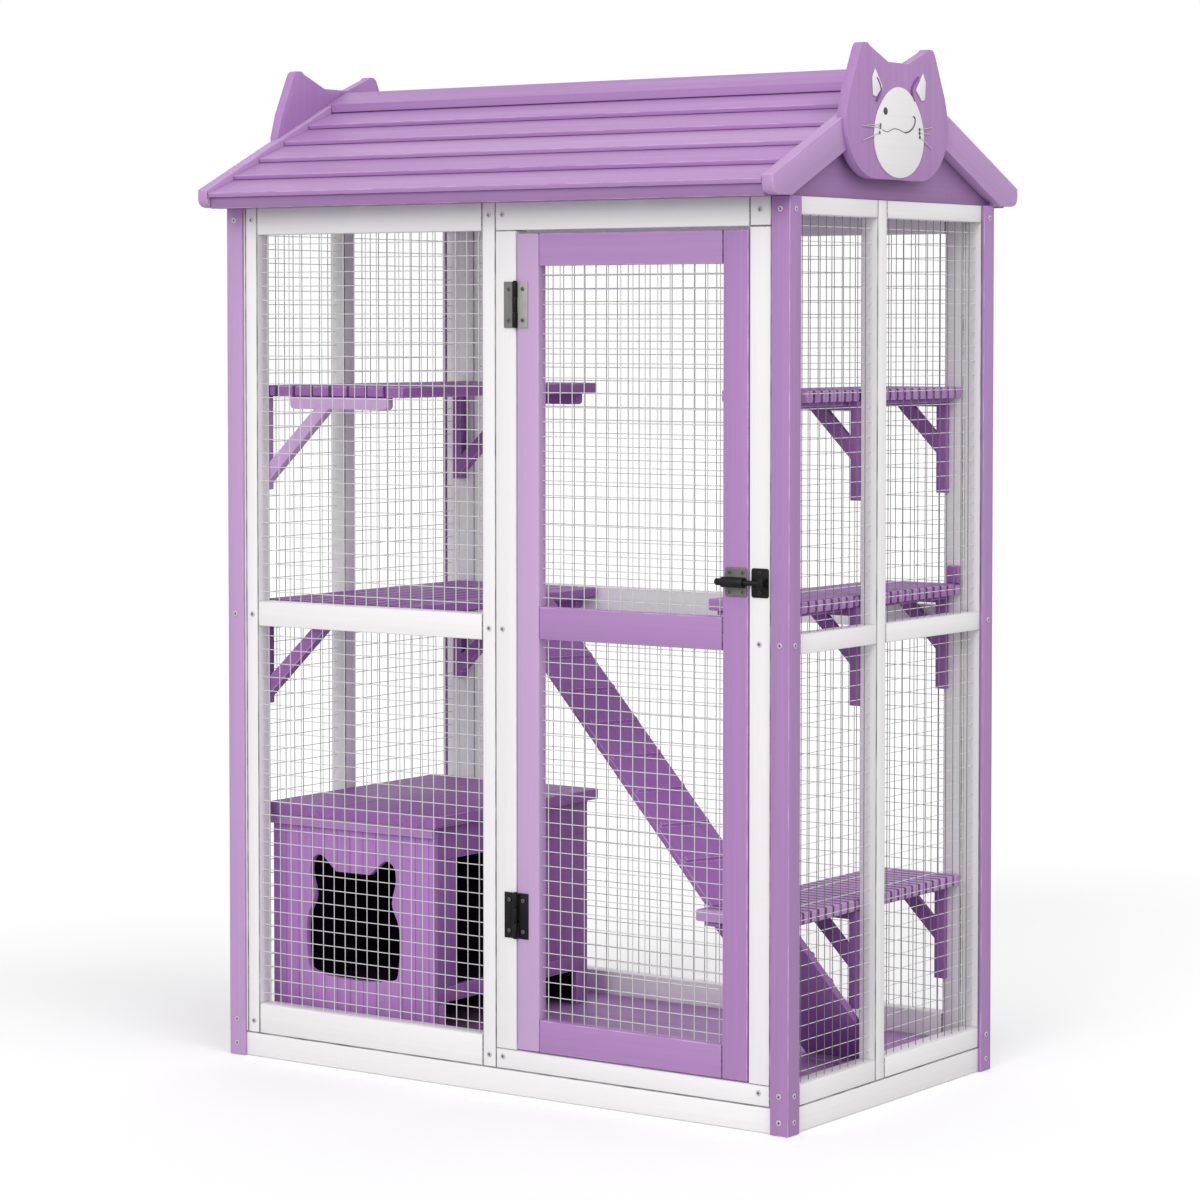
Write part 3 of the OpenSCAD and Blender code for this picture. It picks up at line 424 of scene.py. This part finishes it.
# %% [markdown]
# Grain runs with a board's length. One node often holds several boards, so the points are first
# numbered by loose part. Each part then gets its own grain direction, its own tone and the mark of
# its rounded edges for painted light, written in the mesh where the paint can read them.

# %% Grain, tone and edges of each board
GRAIN_SHIFT = 9
rng = np.random.default_rng(7)


def loose_parts(mesh):
    """Numbers each point of a mesh by the loose part that it belongs to."""
    edges = np.zeros(len(mesh.edges) * 2, np.int64)
    mesh.edges.foreach_get("vertices", edges)
    edges = edges.reshape(-1, 2)
    label = np.arange(len(mesh.vertices))
    while True:
        low = np.minimum(label[edges[:, 0]], label[edges[:, 1]])
        fresh = label.copy()
        np.minimum.at(fresh, edges[:, 0], low)
        np.minimum.at(fresh, edges[:, 1], low)
        fresh = fresh[fresh]
        if np.array_equal(fresh, label):
            return np.unique(label, return_inverse=True)[1]
        label = fresh


def points_of(mesh):
    """All points of a mesh as rows of x, y and z."""
    points = np.zeros(len(mesh.vertices) * 3)
    mesh.vertices.foreach_get("co", points)
    return points.reshape(-1, 3)


def grain_frame(points, along):
    """Three directions of a board: its length, width and thickness."""
    scatter = np.cov((points - points.mean(0)).T)
    axes = np.linalg.eigh(scatter)[1][:, ::-1].T
    if along is not None:
        first = np.array(along, float) / np.linalg.norm(along)
        second = axes[np.argmin([abs(a @ first) for a in axes])]
        second = second - (second @ first) * first
        axes = np.array([first, second / np.linalg.norm(second), np.cross(first, second)])
    return axes


def write_grain(piece, along, tones, reach):
    """Writes grain, board_tone, edge and seam, where rounded edges have material number 1."""
    mesh = piece.data
    points = points_of(mesh)
    part = loose_parts(mesh)
    grain = np.zeros_like(points)
    tone = np.zeros(len(points))
    rounded = np.array([face.material_index for face in mesh.polygons], float)
    seam = np.array([float(face.material_index == 1 and in_seam(face.center, face.normal, reach))
                     for face in mesh.polygons])
    for number in range(part.max() + 1):
        own = part == number
        axes = grain_frame(points[own], along)
        grain[own] = points[own] @ axes.T + rng.uniform(-GRAIN_SHIFT, GRAIN_SHIFT, 3)
        tone[own] = rng.uniform() if tones is None else tones(points[own].mean(0))
    mesh.attributes.new("grain", "FLOAT_VECTOR", "POINT").data.foreach_set("vector", grain.ravel())
    mesh.attributes.new("board_tone", "FLOAT", "POINT").data.foreach_set("value", tone)
    mesh.attributes.new("edge", "FLOAT", "FACE").data.foreach_set("value", rounded * (1 - seam))
    mesh.attributes.new("seam", "FLOAT", "FACE").data.foreach_set("value", seam)
    mesh.polygons.foreach_set("material_index", np.zeros(len(mesh.polygons), np.int32))
    return part.max() + 1


def flag_faces(mesh, name, test):
    """Writes 1 on the faces whose middle and normal pass a test, and 0 on the rest."""
    values = [float(test(face.center, face.normal)) for face in mesh.polygons]
    mesh.attributes.new(name, "FLOAT", "FACE").data.foreach_set("value", values)


# %% [markdown]
# All of that comes together in one function, which turns the boards of a node into finished
# timber. The round of the edges is a small width for boards that are only planed and a larger one
# for those that are sanded.

# %% Finished boards
EDGE_ROUND = 0.0016
ALONG_X = (1, 0, 0)
ALONG_Y = (0, 1, 0)
UPRIGHT = (0, 0, 1)


def boards(node, body, finish, width=EDGE_ROUND, along=None, tones=None, reach=SEAM_REACH):
    """Turns the boards of one node into finished timber that stands for it."""
    piece = copy_of(node, node + "_timber")
    piece.data.materials.append(finish)
    piece.data.materials.append(finish)
    soften(piece, width, slot=1)
    alone(piece)
    bpy.ops.object.shade_smooth_by_angle(angle=math.radians(40))
    count = write_grain(piece, along, tones, reach)
    piece.data.materials.pop(index=1)
    stands_for(piece, node, body)
    print(f"{piece.name}: {count} boards, {len(piece.data.polygons)} faces")
    return piece


# %% [markdown]
# The frame: four purple corner posts, white panels between them, a white surround for the door
# and white skirt boards on the ground. Each was cut square and screwed together, so it needs no
# more than softened edges. The posts are small L-shaped sections with tighter edges. Each post has
# a tone of its own.

# %% Posts, panels and skirts
def even_tone(level):
    """One tone for all boards of a piece: 0.5 is plain, more is paler."""
    return lambda middle: level


for post, level in (("post_front_left", 1.9), ("post_front_right", 0.2),
                    ("post_back_left", 0.5), ("post_back_right", 0.4)):
    boards(post, "frame", purple_paint, width=0.0012, along=UPRIGHT, tones=even_tone(level))
for panel in ("front_left_panel", "door_surround", "left_side_panel",
              "right_side_panel", "back_panel", "skirt_boards"):
    boards(panel, "frame", white_paint)

# %% [markdown]
# The floor is laid from purple boards on three bearers, and hides behind the skirts. Only its top
# shows through the windows.

# %% Floor of the enclosure
boards("floor_bearers", "frame", purple_paint)
boards("floor_boards", "frame", purple_paint)

# %% [markdown]
# The roof: five lapped boards on each slope, a ridge cap, barge boards at both ends, gable panels
# behind them, and the strips, beam and rafters that carry it all. Each board tips over the one
# below it as shingles do, so its lower edge casts a thin line of shadow.

# %% Roof
def painted_roof_light(middle):
    """Roof boards are painted a little paler, as painted light from above, each by its own random amount."""
    return rng.uniform(0.8, 1.5)


for node in ("front_roof_boards", "back_roof_boards"):
    boards(node, "frame", purple_paint, width=0.0012, along=ALONG_X, tones=painted_roof_light)
# The eave strips under the roof's edge get a deep tone as painted shade.
for node, level in (("ridge_cap", 0.2), ("ridge_beam", 0), ("eave_strips", -1.5)):
    boards(node, "frame", purple_paint, width=0.0012, along=ALONG_X, tones=even_tone(level))
for node, level in (("left_barge_boards", 1.7), ("right_barge_boards", 1.7), ("rafters", 0.5)):
    boards(node, "frame", purple_paint, width=0.0015, tones=even_tone(level))
# The gable panels, set back under the barge boards, get a deep tone as painted shade.
for node in ("left_gable_panel", "right_gable_panel"):
    boards(node, "frame", purple_paint, width=0.001, along=ALONG_Y, tones=even_tone(-1.8))

# %% [markdown]
# The cat-head boards on the gables are cut from one sheet each, with a thin white face laid on.
# A jigsaw leaves such an outline sharp, and a light sanding rounds it no more than the posts. The
# white pieces are thinner, so their edges get a smaller round.

# %% Cat-head boards
for node, level in (("left_cat_head", 1.0), ("right_cat_head", 0.9)):
    boards(node, "frame", purple_paint, width=0.0012, along=UPRIGHT, tones=even_tone(level))
boards("cat_face_whites", "frame", white_paint, width=0.0007, along=ALONG_Y)

# %% [markdown]
# Inside hang the shelves: two wide ones on the left, two narrow ones and a low platform on the
# right, all of slats on battens and brackets, with ramps between them. The gaps between slats are
# a few millimetres wide and look dark, so here the seam colour reaches a little further.

# %% Shelves, brackets and ramps
def painted_inner_shade(middle):
    """Boards inside are painted deeper, as painted shade, each by a random amount."""
    return rng.uniform(-1.9, -0.7)


def painted_window_light(middle):
    """The slats of the two upper shelves at the window on the right are painted paler, as painted light."""
    return rng.uniform(1.0, 2.0)


for node in ("upper_left_shelf", "middle_left_shelf"):
    boards(node, "frame", shaded_purple_paint, width=0.0022, tones=painted_inner_shade, reach=SLAT_REACH)
for node in ("upper_right_shelf", "middle_right_shelf"):
    boards(node, "frame", shaded_purple_paint, width=0.0024, tones=painted_window_light, reach=SLAT_REACH)
boards("low_platform", "frame", shaded_purple_paint,
       width=0.0024, tones=even_tone(2.2), reach=SLAT_REACH)


def bracket_tones(middle):
    """The front bracket under the upper shelf is painted almost white, the rest deeper as painted shade."""
    in_front, under_upper_shelf = middle[1] < 0, middle[2] > 1
    return 3 if in_front and under_upper_shelf else -1.3


boards("left_brackets", "frame", shaded_purple_paint, tones=bracket_tones)
for node in ("shelf_battens", "shelf_cleat", "right_brackets"):
    boards(node, "frame", shaded_purple_paint, tones=painted_inner_shade)
for node in ("upper_ramp", "lower_ramp"):
    boards(node, "frame", shaded_purple_paint, width=0.001, tones=even_tone(-0.6))

# %% [markdown]
# The cat house stands on the floor at the left: a front of narrow planks with a doorway in the
# shape of a cat's head, plain walls, a raised floor and a roof board with a trim under it. Hardly
# any light finds its way in, so the faces that look into the room take a dark colour: painting
# them dark is quicker than a deeper model, and shows the same black doorway from every side.

# %% Cat house
HOUSE_LOW = (-0.5585, -0.2545, 0.05)
HOUSE_HIGH = (-0.2025, 0.1995, 0.4455)
HOUSE_FRONT_Y = -0.24


def within_house(middle, normal):
    """True on the faces that look into the closed room, or down into the space under it."""
    return all(HOUSE_LOW[n] <= middle[n] <= HOUSE_HIGH[n] for n in range(3))


def house_tones(middle):
    """The roof board and the walls are in the shade, while the front is lit through the window."""
    return 1.45 if middle[1] < HOUSE_FRONT_Y else -1.6


for node in ("house_front", "house_left_wall", "house_right_wall", "house_back", "house_floor", "house_roof"):
    along = None if node in ("house_floor", "house_roof") else UPRIGHT
    piece = boards(node, "frame", house_paint, width=0.0009, along=along, tones=house_tones)
    flag_faces(piece.data, "inside", within_house)
boards("house_roof_trim", "frame", purple_paint, width=0.0014)

# %% [markdown]
# The door is a purple frame of two stiles and three rails that rides on its hinges. It is the
# piece that is touched most, so its edges are rounded more than those of the walls.

# %% Door
HINGE_STILE_X = 0.1
TOP_RAIL_Z = 1.4


def door_tones(middle):
    """The hinge stile is painted palest, and the top rail under the eave paler as painted light."""
    if middle[0] < HINGE_STILE_X:
        return 2.5
    return 1.2 if middle[2] > TOP_RAIL_Z else 0.5


boards("door_stiles_and_rails", "door", purple_paint, width=0.0018, tones=door_tones)

# %% [markdown]
# Galvanised steel for the welded mesh: dull grey zinc with a faint mottle. The wires are thin, so
# the finish stays light and rather rough, and picks up the white of the room. A number on each
# face, named dark, blends in a second colour as painted shade: the upright wires of the sides and
# the back look much darker in the photograph than the level ones, which catch the light from above.

# %% Zinc and hardware metals
CLOUDS = (60, 60, 60)
SCRATCHES = (900, 360, 900)


def metal(name, colour, mottle, metallic, rough, dark=None, shine=0.5):
    """Metal with cloudy tone and fine scratches, on the piece's own coordinates."""
    material, tree, shader = new_material(name)
    place = tree.nodes.new("ShaderNodeTexCoord").outputs["Object"]
    cloud = noise(tree, place, CLOUDS, 4, 0.6)
    fine = noise(tree, place, SCRATCHES, 3, 0.65)
    dull, bright = shade(colour, 1 - mottle), shade(colour, 1 + mottle)
    body = blend(tree, spread(tree, cloud, 0.3, 0.7, 0, 1), dull, bright)
    if dark is not None:
        body = blend(tree, attribute(tree, "dark").outputs["Fac"], body, dark)
    tree.links.new(body, shader.inputs["Base Color"])
    shader.inputs["Metallic"].default_value = metallic
    shader.inputs["Specular IOR Level"].default_value = shine
    tree.links.new(spread(tree, fine, 0.3, 0.7, rough - 0.07, rough + 0.09), shader.inputs["Roughness"])
    tree.links.new(bump(tree, fine, 0.18, 0.0002), shader.inputs["Normal"])
    return material


# The zinc's second colour is painted shade on the upright wires.
zinc = metal("galvanised_wire", linear(224, 225, 223), 0.06, 0.3, 0.42, dark=linear(108, 108, 107))
black_metal = metal("black_hardware", linear(17, 17, 17), 0.18, 0.1, 0.42, shine=0.25)
print("metals", zinc.name, black_metal.name)

# %% [markdown]
# The welded mesh has a wire every inch, 25.4 mm, in both directions. Making each wire by hand
# would take a day, so one wire is drawn from a six-sided ring, and an array repeats it across the
# window. The wires run a few millimetres into the timber, where staples hold them. The front's
# wires are a little thicker and paler than the rest, as they look in the photograph: their
# uprights get only a little of the painted shade.

# %% Welded mesh
PITCH = 0.0254
THIN_WIRE = 0.0007
NEAR_WIRE = 0.00085
FAR_UPRIGHT_SHADE = 0.9
NEAR_UPRIGHT_SHADE = 0.15
INTO_WOOD = 0.004


def joined(pieces, name):
    """Joins objects into one mesh under the given name."""
    bpy.ops.object.select_all(action="DESELECT")
    for piece in pieces:
        piece.select_set(True)
    bpy.context.view_layer.objects.active = pieces[0]
    if len(pieces) > 1:
        bpy.ops.object.join()
    return added(name)


def wires(name, start, end, step, count, radius):
    """A row of wires: one is drawn from start to end, and the array copies it count times."""
    start, end, step = Vector(start), Vector(end), Vector(step)
    turn = (end - start).to_track_quat("Z", "Y").to_euler()
    bpy.ops.object.select_all(action="DESELECT")
    bpy.ops.mesh.primitive_circle_add(vertices=6, radius=radius, fill_type="NGON",
                                      location=start, rotation=turn)
    wire = settle(added(name))
    bpy.ops.object.mode_set(mode="EDIT")
    bpy.ops.mesh.select_all(action="SELECT")
    bpy.ops.mesh.extrude_region_move(TRANSFORM_OT_translate={"value": end - start})
    bpy.ops.mesh.select_all(action="SELECT")
    bpy.ops.mesh.normals_make_consistent(inside=False)
    bpy.ops.object.mode_set(mode="OBJECT")
    array = wire.modifiers.new("Array", "ARRAY")
    array.use_relative_offset = False
    array.use_constant_offset = True
    array.constant_offset_displace = step
    array.count = count
    return apply_all(wire)


def window_wires(name, low, high, plane, across, outward, radius, uprights_shade):
    """Both rows of wires of one window: uprights outside, level wires welded on inside.

    low and high are two corners of the window, each given along the wall and up."""
    pieces = []
    for number, layer in ((0, outward * radius), (1, -outward * radius)):
        run = 1 - number
        room_to_fill = high[number] - low[number]
        count = int(room_to_fill / PITCH)
        first = low[number] + (room_to_fill - (count - 1) * PITCH) / 2

        def at(along, up):
            return (along, plane + layer, up) if across == "x" else (plane + layer, along, up)

        if run == 1:
            start, end = at(first, low[1] - INTO_WOOD), at(first, high[1] + INTO_WOOD)
            step = (PITCH, 0, 0) if across == "x" else (0, PITCH, 0)
        else:
            start, end = at(low[0] - INTO_WOOD, first), at(high[0] + INTO_WOOD, first)
            step = (0, 0, PITCH)
        row = wires(f"{name}_{number}", start, end, step, count, radius)
        # The upright wires are marked for painted shade, the level wires are not.
        flag_faces(row.data, "dark", lambda middle, normal: run * uprights_shade)
        pieces.append(row)
    return pieces


def mesh_wall(node, body, windows, plane, across, outward, radius=THIN_WIRE, uprights_shade=FAR_UPRIGHT_SHADE):
    """All windows of one wall, which lies across x or y at a plane and faces outward."""
    pieces = []
    for number, (low, high) in enumerate(windows):
        window = f"{node}_{number}"
        pieces += window_wires(window, low, high, plane, across, outward, radius, uprights_shade)
    wall = joined(pieces, node + "_wires")
    alone(wall)
    bpy.ops.object.shade_smooth_by_angle(angle=math.radians(70))
    wall.data.materials.append(zinc)
    stands_for(wall, node, body)
    print(f"{wall.name}: {len(wall.data.polygons)} faces")


MESH_Y = 0.3249
MESH_X = 0.5919
front_windows = [((-0.543, 0.099), (-0.028, 0.796)), ((-0.543, 0.841), (-0.028, 1.511))]
door_windows = [((0.094, 0.138), (0.475, 0.803)), ((0.094, 0.859), (0.475, 1.449))]
back_windows = [((-0.532, 0.099), (0.532, 0.796)), ((-0.532, 0.841), (0.532, 1.511))]
side_windows = [((-0.299, 0.080), (-0.052, 0.800)), ((-0.299, 0.833), (-0.052, 1.530)),
                ((-0.022, 0.080), (0.308, 0.800)), ((-0.022, 0.833), (0.308, 1.530))]
mesh_wall("front_mesh", "frame", front_windows, -MESH_Y, "x", -1, NEAR_WIRE, NEAR_UPRIGHT_SHADE)
mesh_wall("door_mesh", "door", door_windows, -MESH_Y, "x", -1, NEAR_WIRE, NEAR_UPRIGHT_SHADE)
mesh_wall("back_mesh", "frame", back_windows, MESH_Y, "x", 1)
mesh_wall("left_mesh", "frame", side_windows, -MESH_X, "y", -1)
mesh_wall("right_mesh", "frame", side_windows, MESH_X, "y", 1)

# %% [markdown]
# The hinges and the bolt are pressed steel. The hinges are black, knuckles and all, and so is all
# of the lower hinge; the bolt's plate has a grey coat, while its barrel, rod and keeper are black.
# The leaves of the upper hinge are painted grey as a painted reflection, darker on the frame's leaf
# and paler on the door's. The model's solids have the right shapes, so each is copied and gets the
# tiny round that a press leaves on its edges. One finish holds both colours, and a number on each
# face says which it has.

# %% Hinges, bolt and keeper
black = linear(12, 12, 12)
# The upper hinge's leaves get a painted reflection: grey on the frame's leaf, paler on the door's.
leaf_reflection_grey = metal("hinge_reflection_grey", linear(124, 124, 121), 0.1, 0.15, 0.45, dark=black, shine=0.25)
leaf_reflection_pale = metal("hinge_reflection_pale", linear(168, 169, 163), 0.08, 0.15, 0.42, dark=black, shine=0.25)
plate_grey = metal("bolt_plate_grey", linear(112, 111, 110), 0.12, 0.4, 0.45, dark=black)
HINGE_X = 0.0465
KNUCKLE_R = 0.0046
BETWEEN_HINGES_Z = 0.8
PLATE_FRONT_Y = -0.3392


def fitting(node, body, finish, width=0.0004, is_dark=None):
    """A copy of a metal node with pressed edges that stands for it."""
    piece = copy_of(node, node + "_steel")
    soften(piece, width, angle=40)
    alone(piece)
    bpy.ops.object.shade_smooth_by_angle(angle=math.radians(35))
    if is_dark:
        flag_faces(piece.data, "dark", is_dark)
    piece.data.materials.append(finish)
    stands_for(piece, node, body)
    print(f"{piece.name}: {len(piece.data.polygons)} faces")


def knuckle_or_lower(middle, normal):
    """True on the knuckles of both hinges and on all of the lower hinge."""
    return abs(middle.x - HINGE_X) < KNUCKLE_R or middle.z < BETWEEN_HINGES_Z


def barrel_or_guide(middle, normal):
    """True on all of the bolt's fitting that stands out from its plate."""
    return middle.y < PLATE_FRONT_Y


fitting("hinge_frame_leaves", "frame", leaf_reflection_grey, is_dark=knuckle_or_lower)
fitting("hinge_door_leaves", "door", leaf_reflection_pale, is_dark=knuckle_or_lower)
fitting("hinge_pins", "frame", black_metal, 0.0005)
fitting("bolt_plate_and_barrel", "door", plate_grey, 0.0005, is_dark=barrel_or_guide)
fitting("bolt_rod", "bolt", black_metal, 0.0007)
fitting("bolt_keeper", "frame", black_metal, 0.0006)

# %% [markdown]
# Screws: the frame and the fittings are held by small round-headed screws with a cross recess. One
# head is turned from a cylinder, its rim is rounded and two crossed bars are cut out of it. The
# cut is shallow, so a number on its faces darkens it with painted shade.

# %% One screw head
HEAD_R = 0.0036
HEAD_HIGH = 0.0014
RIM_ROUND = 0.0005
RECESS_R = 0.0024
RECESS_TOP = 0.00135
BAR_SIZE = (0.0042, 0.0010, 0.0012)
BAR_Z = 0.0012


def in_recess(middle, normal):
    """True on the faces of the crossed recess."""
    return math.hypot(middle.x, middle.y) < RECESS_R and middle.z < RECESS_TOP


bpy.ops.object.select_all(action="DESELECT")
bpy.ops.mesh.primitive_cylinder_add(vertices=16, radius=HEAD_R, depth=HEAD_HIGH,
                                    location=(0, 0, HEAD_HIGH / 2))
screw = settle(added("screw_head"))
soften(screw, RIM_ROUND, angle=50)
bars = []
for turn in (0, 90):
    bpy.ops.object.select_all(action="DESELECT")
    bpy.ops.mesh.primitive_cube_add(size=1, location=(0, 0, BAR_Z), rotation=(0, 0, math.radians(turn)),
                                    scale=BAR_SIZE)
    bars.append(settle(added(f"recess_bar_{turn}")))
for bar in bars:
    cut = screw.modifiers.new("Recess", "BOOLEAN")
    cut.object = bar
    cut.operation = "DIFFERENCE"
    cut.solver = "EXACT"
apply_all(screw)
for bar in bars:
    bpy.data.objects.remove(bar)
# The faces of the recess are marked for painted shade.
flag_faces(screw.data, "dark", in_recess)
print("screw head", len(screw.data.polygons), "faces")

# %% [markdown]
# The same head is set on each place where the model has a screw, each copy with its own mesh. It
# is scaled to the screw that stands there and turned by chance, as no two screws stop alike. The
# wall's screws are bright, the hinge's dull grey and the keeper's nearly black.

# %% Screws in their places
# Each screw finish's second colour is the painted shade in the recess.
screw_steel = metal("screw_steel", linear(205, 203, 206), 0.08, 0.45, 0.35, dark=linear(58, 52, 60))
screw_grey = metal("screw_grey", linear(104, 104, 102), 0.1, 0.45, 0.4, dark=linear(34, 33, 33))
screw_black = metal("screw_black", linear(48, 47, 46), 0.1, 0.4, 0.4, dark=linear(18, 18, 18))


def screws(node, body, finish):
    """Sets one screw head on each screw of the model's node, looking the way that it looks."""
    merged = copy_of(node, node + "_guide")
    points = points_of(merged.data)
    part = loose_parts(merged.data)
    heads = []
    for number in range(part.max() + 1):
        own = points[part == number]
        low, high = own.min(0), own.max(0)
        axis = int(np.argmin(high - low))
        middle = (low + high) / 2
        outward = 1 if middle[axis] > 0 else -1
        place = Vector(middle)
        place[axis] = low[axis] if outward > 0 else high[axis]
        facing = Vector((0, 0, 0))
        facing[axis] = outward
        head = bpy.data.objects.new(f"{node}_{number}", screw.data.copy())
        scene.collection.objects.link(head)
        wide = (high - low).max() / 2 / HEAD_R
        head.scale = (wide, wide, 1)
        head.location = place
        head.rotation_euler = facing.to_track_quat("Z", "Y").to_euler()
        head.rotation_euler.rotate_axis("Z", rng.uniform(0, math.pi / 2))
        settle(head)
        heads.append(head)
    bpy.data.objects.remove(merged)
    piece = joined(heads, node + "_heads")
    alone(piece)
    bpy.ops.object.shade_smooth_by_angle(angle=math.radians(35))
    piece.data.materials.clear()
    piece.data.materials.append(finish)
    stands_for(piece, node, body)
    print(f"{piece.name}: {len(heads)} screws")


screws("wall_screws", "frame", screw_steel)
screws("hinge_screws", "frame", screw_grey)
screws("door_hardware_screws", "door", screw_grey)
screws("keeper_screws", "frame", screw_black)
bpy.data.objects.remove(screw)

# %% [markdown]
# The lines of the cat's face are bent wire let into the white piece, so each is drawn as a path
# and given a round section. A painted line would be flat, and here the lines catch some light.
# Whiskers are slim steel cones, thicker at the root, which ends in a dark bead.

# %% Bent wire and whiskers
FACE_X = 0.6305
BOARD_X = 0.628
PROUD = 0.0002
BEAD_SHAPE = (0.35, 1, 1)
ROOT_X = FACE_X + 0.0004
TIP_X = BOARD_X + 0.0014
ROOT_R = 0.0010
TIP_R = 0.0007
BEAD_R = 0.0030
dark_mark = metal("face_marks", linear(74, 62, 78), 0.12, 0.1, 0.5)
whisker_steel = metal("whisker_steel", linear(206, 200, 206), 0.08, 0.35, 0.38)
# The folds' deeper purple is painted shade along the edge of the white.
fold_shade_purple = metal("ear_folds_shade", linear(132, 88, 152), 0.1, 0, 0.5, shine=0.2)


def bent_wire(name, places, radius, plane=FACE_X):
    """A round wire on the face, through places given across and up in metres."""
    bpy.ops.object.select_all(action="DESELECT")
    bpy.ops.curve.primitive_nurbs_path_add()
    wire = added(name)
    wire.location = (0, 0, 0)
    wire.data.splines.clear()
    line = wire.data.splines.new("NURBS")
    line.points.add(len(places) - 1)
    line.order_u = 3
    line.use_endpoint_u = True
    for point, (across, up) in zip(line.points, places):
        point.co = (plane + PROUD, across, up, 1)
    wire.data.dimensions = "3D"
    wire.data.resolution_u = 6
    wire.data.bevel_depth = radius
    wire.data.bevel_resolution = 2
    wire.data.use_fill_caps = True
    alone(wire)
    bpy.ops.object.convert(target="MESH")
    return added(name)


def whisker(name, root, tip):
    """A slim cone on the board from its thick root to its tip, with a dark bead at the root."""
    start, end = Vector((ROOT_X, *root)), Vector((TIP_X, *tip))
    turn = (end - start).to_track_quat("Z", "Y").to_euler()
    bpy.ops.object.select_all(action="DESELECT")
    bpy.ops.mesh.primitive_cone_add(vertices=8, radius1=ROOT_R, radius2=TIP_R, depth=(end - start).length,
                                    location=(start + end) / 2, rotation=turn)
    pin = settle(added(name))
    bpy.ops.object.select_all(action="DESELECT")
    bpy.ops.mesh.primitive_uv_sphere_add(segments=8, ring_count=6, radius=BEAD_R, location=start,
                                         scale=BEAD_SHAPE)
    bead = settle(added(name + "_root"))
    return pin, bead


print("face finishes", dark_mark.name, whisker_steel.name, fold_shade_purple.name)

# %% [markdown]
# Each gable's cat has an eye, a thin wavy mouth, a cheek line, six whiskers and a raised fold
# beside each ear's white. The folds are a deeper purple than the board, as painted shade along the
# white's edge. The places are metres across and up on the right-hand board. The left board gets
# the same face, turned over by a mirrored scale, after which its normals are put right.

# %% Cat faces
MOUTH_R = 0.0006
CHEEK_R = 0.0012
FOLD_R = 0.0018
EYE_R = 0.0066
EYE_PLACE = (FACE_X, -0.073, 1.7095)
EYE_SHAPE = (0.2, 1.08, 0.98)
MOUTH = [(-0.083, 1.6775), (-0.074, 1.6745), (-0.065, 1.6745), (-0.056, 1.678), (-0.046, 1.681),
         (-0.034, 1.6805), (-0.023, 1.679), (-0.012, 1.6755), (-0.003, 1.6755), (0.004, 1.678)]
CHEEK = [(-0.008, 1.6755), (0.004, 1.677), (0.015, 1.682), (0.023, 1.689), (0.0265, 1.697),
         (0.025, 1.703), (0.019, 1.7045)]
LEFT_FOLD = [(-0.1015, 1.7645), (-0.093, 1.757), (-0.087, 1.745), (-0.092, 1.735), (-0.101, 1.725)]
RIGHT_FOLD = [(0.0385, 1.7725), (0.027, 1.763), (0.017, 1.7535), (0.0155, 1.743), (0.024, 1.731)]
WHISKERS = [((-0.090, 1.6855), (-0.133, 1.684)), ((-0.091, 1.681), (-0.149, 1.682)),
            ((-0.093, 1.672), (-0.145, 1.657)), ((0.041, 1.683), (0.087, 1.6885)),
            ((0.041, 1.6765), (0.078, 1.677)), ((0.042, 1.670), (0.087, 1.651))]
MARK_FINISHES = ((dark_mark, "black_hardware"), (whisker_steel, "grey_hardware"),
                 (fold_shade_purple, "purple_paint"))


def face_marks(name):
    """The dark marks, the whiskers and the folds of the face on the right-hand board."""
    lines = [bent_wire(name + "_mouth", MOUTH, MOUTH_R), bent_wire(name + "_cheek", CHEEK, CHEEK_R)]
    folds = [bent_wire(name + "_left_fold", LEFT_FOLD, FOLD_R, BOARD_X + FOLD_R),
             bent_wire(name + "_right_fold", RIGHT_FOLD, FOLD_R, BOARD_X + FOLD_R)]
    bpy.ops.object.select_all(action="DESELECT")
    bpy.ops.mesh.primitive_uv_sphere_add(segments=20, ring_count=10, radius=EYE_R, location=EYE_PLACE,
                                         scale=EYE_SHAPE)
    eye = settle(added(name + "_eye"))
    pins, beads = [], []
    for number, (root, tip) in enumerate(WHISKERS):
        pin, bead = whisker(f"{name}_whisker_{number}", root, tip)
        pins.append(pin)
        beads.append(bead)
    dark = joined([eye] + lines + beads, name + "_dark")
    return dark, joined(pins, name + "_pins"), joined(folds, name + "_folds")


def turned_over(piece):
    """Mirrors a piece to the other gable and puts its normals right."""
    alone(piece)
    piece.scale = (-1, 1, 1)
    settle(piece)
    bpy.ops.object.mode_set(mode="EDIT")
    bpy.ops.mesh.select_all(action="SELECT")
    bpy.ops.mesh.normals_make_consistent(inside=False)
    bpy.ops.object.mode_set(mode="OBJECT")


for name in ("right_face", "left_face"):
    for piece, (finish, slot) in zip(face_marks(name), MARK_FINISHES):
        if name == "left_face":
            turned_over(piece)
        alone(piece)
        bpy.ops.object.shade_smooth_by_angle(angle=math.radians(50))
        piece.data.materials.clear()
        piece.data.materials.append(finish)
        stands_for(piece, "cat_face_marks", "frame")
        print(f"{piece.name}: {len(piece.data.polygons)} faces")

# %% [markdown]
# The last step brings the scene up to date.

# %% Finish
bpy.context.view_layer.update()
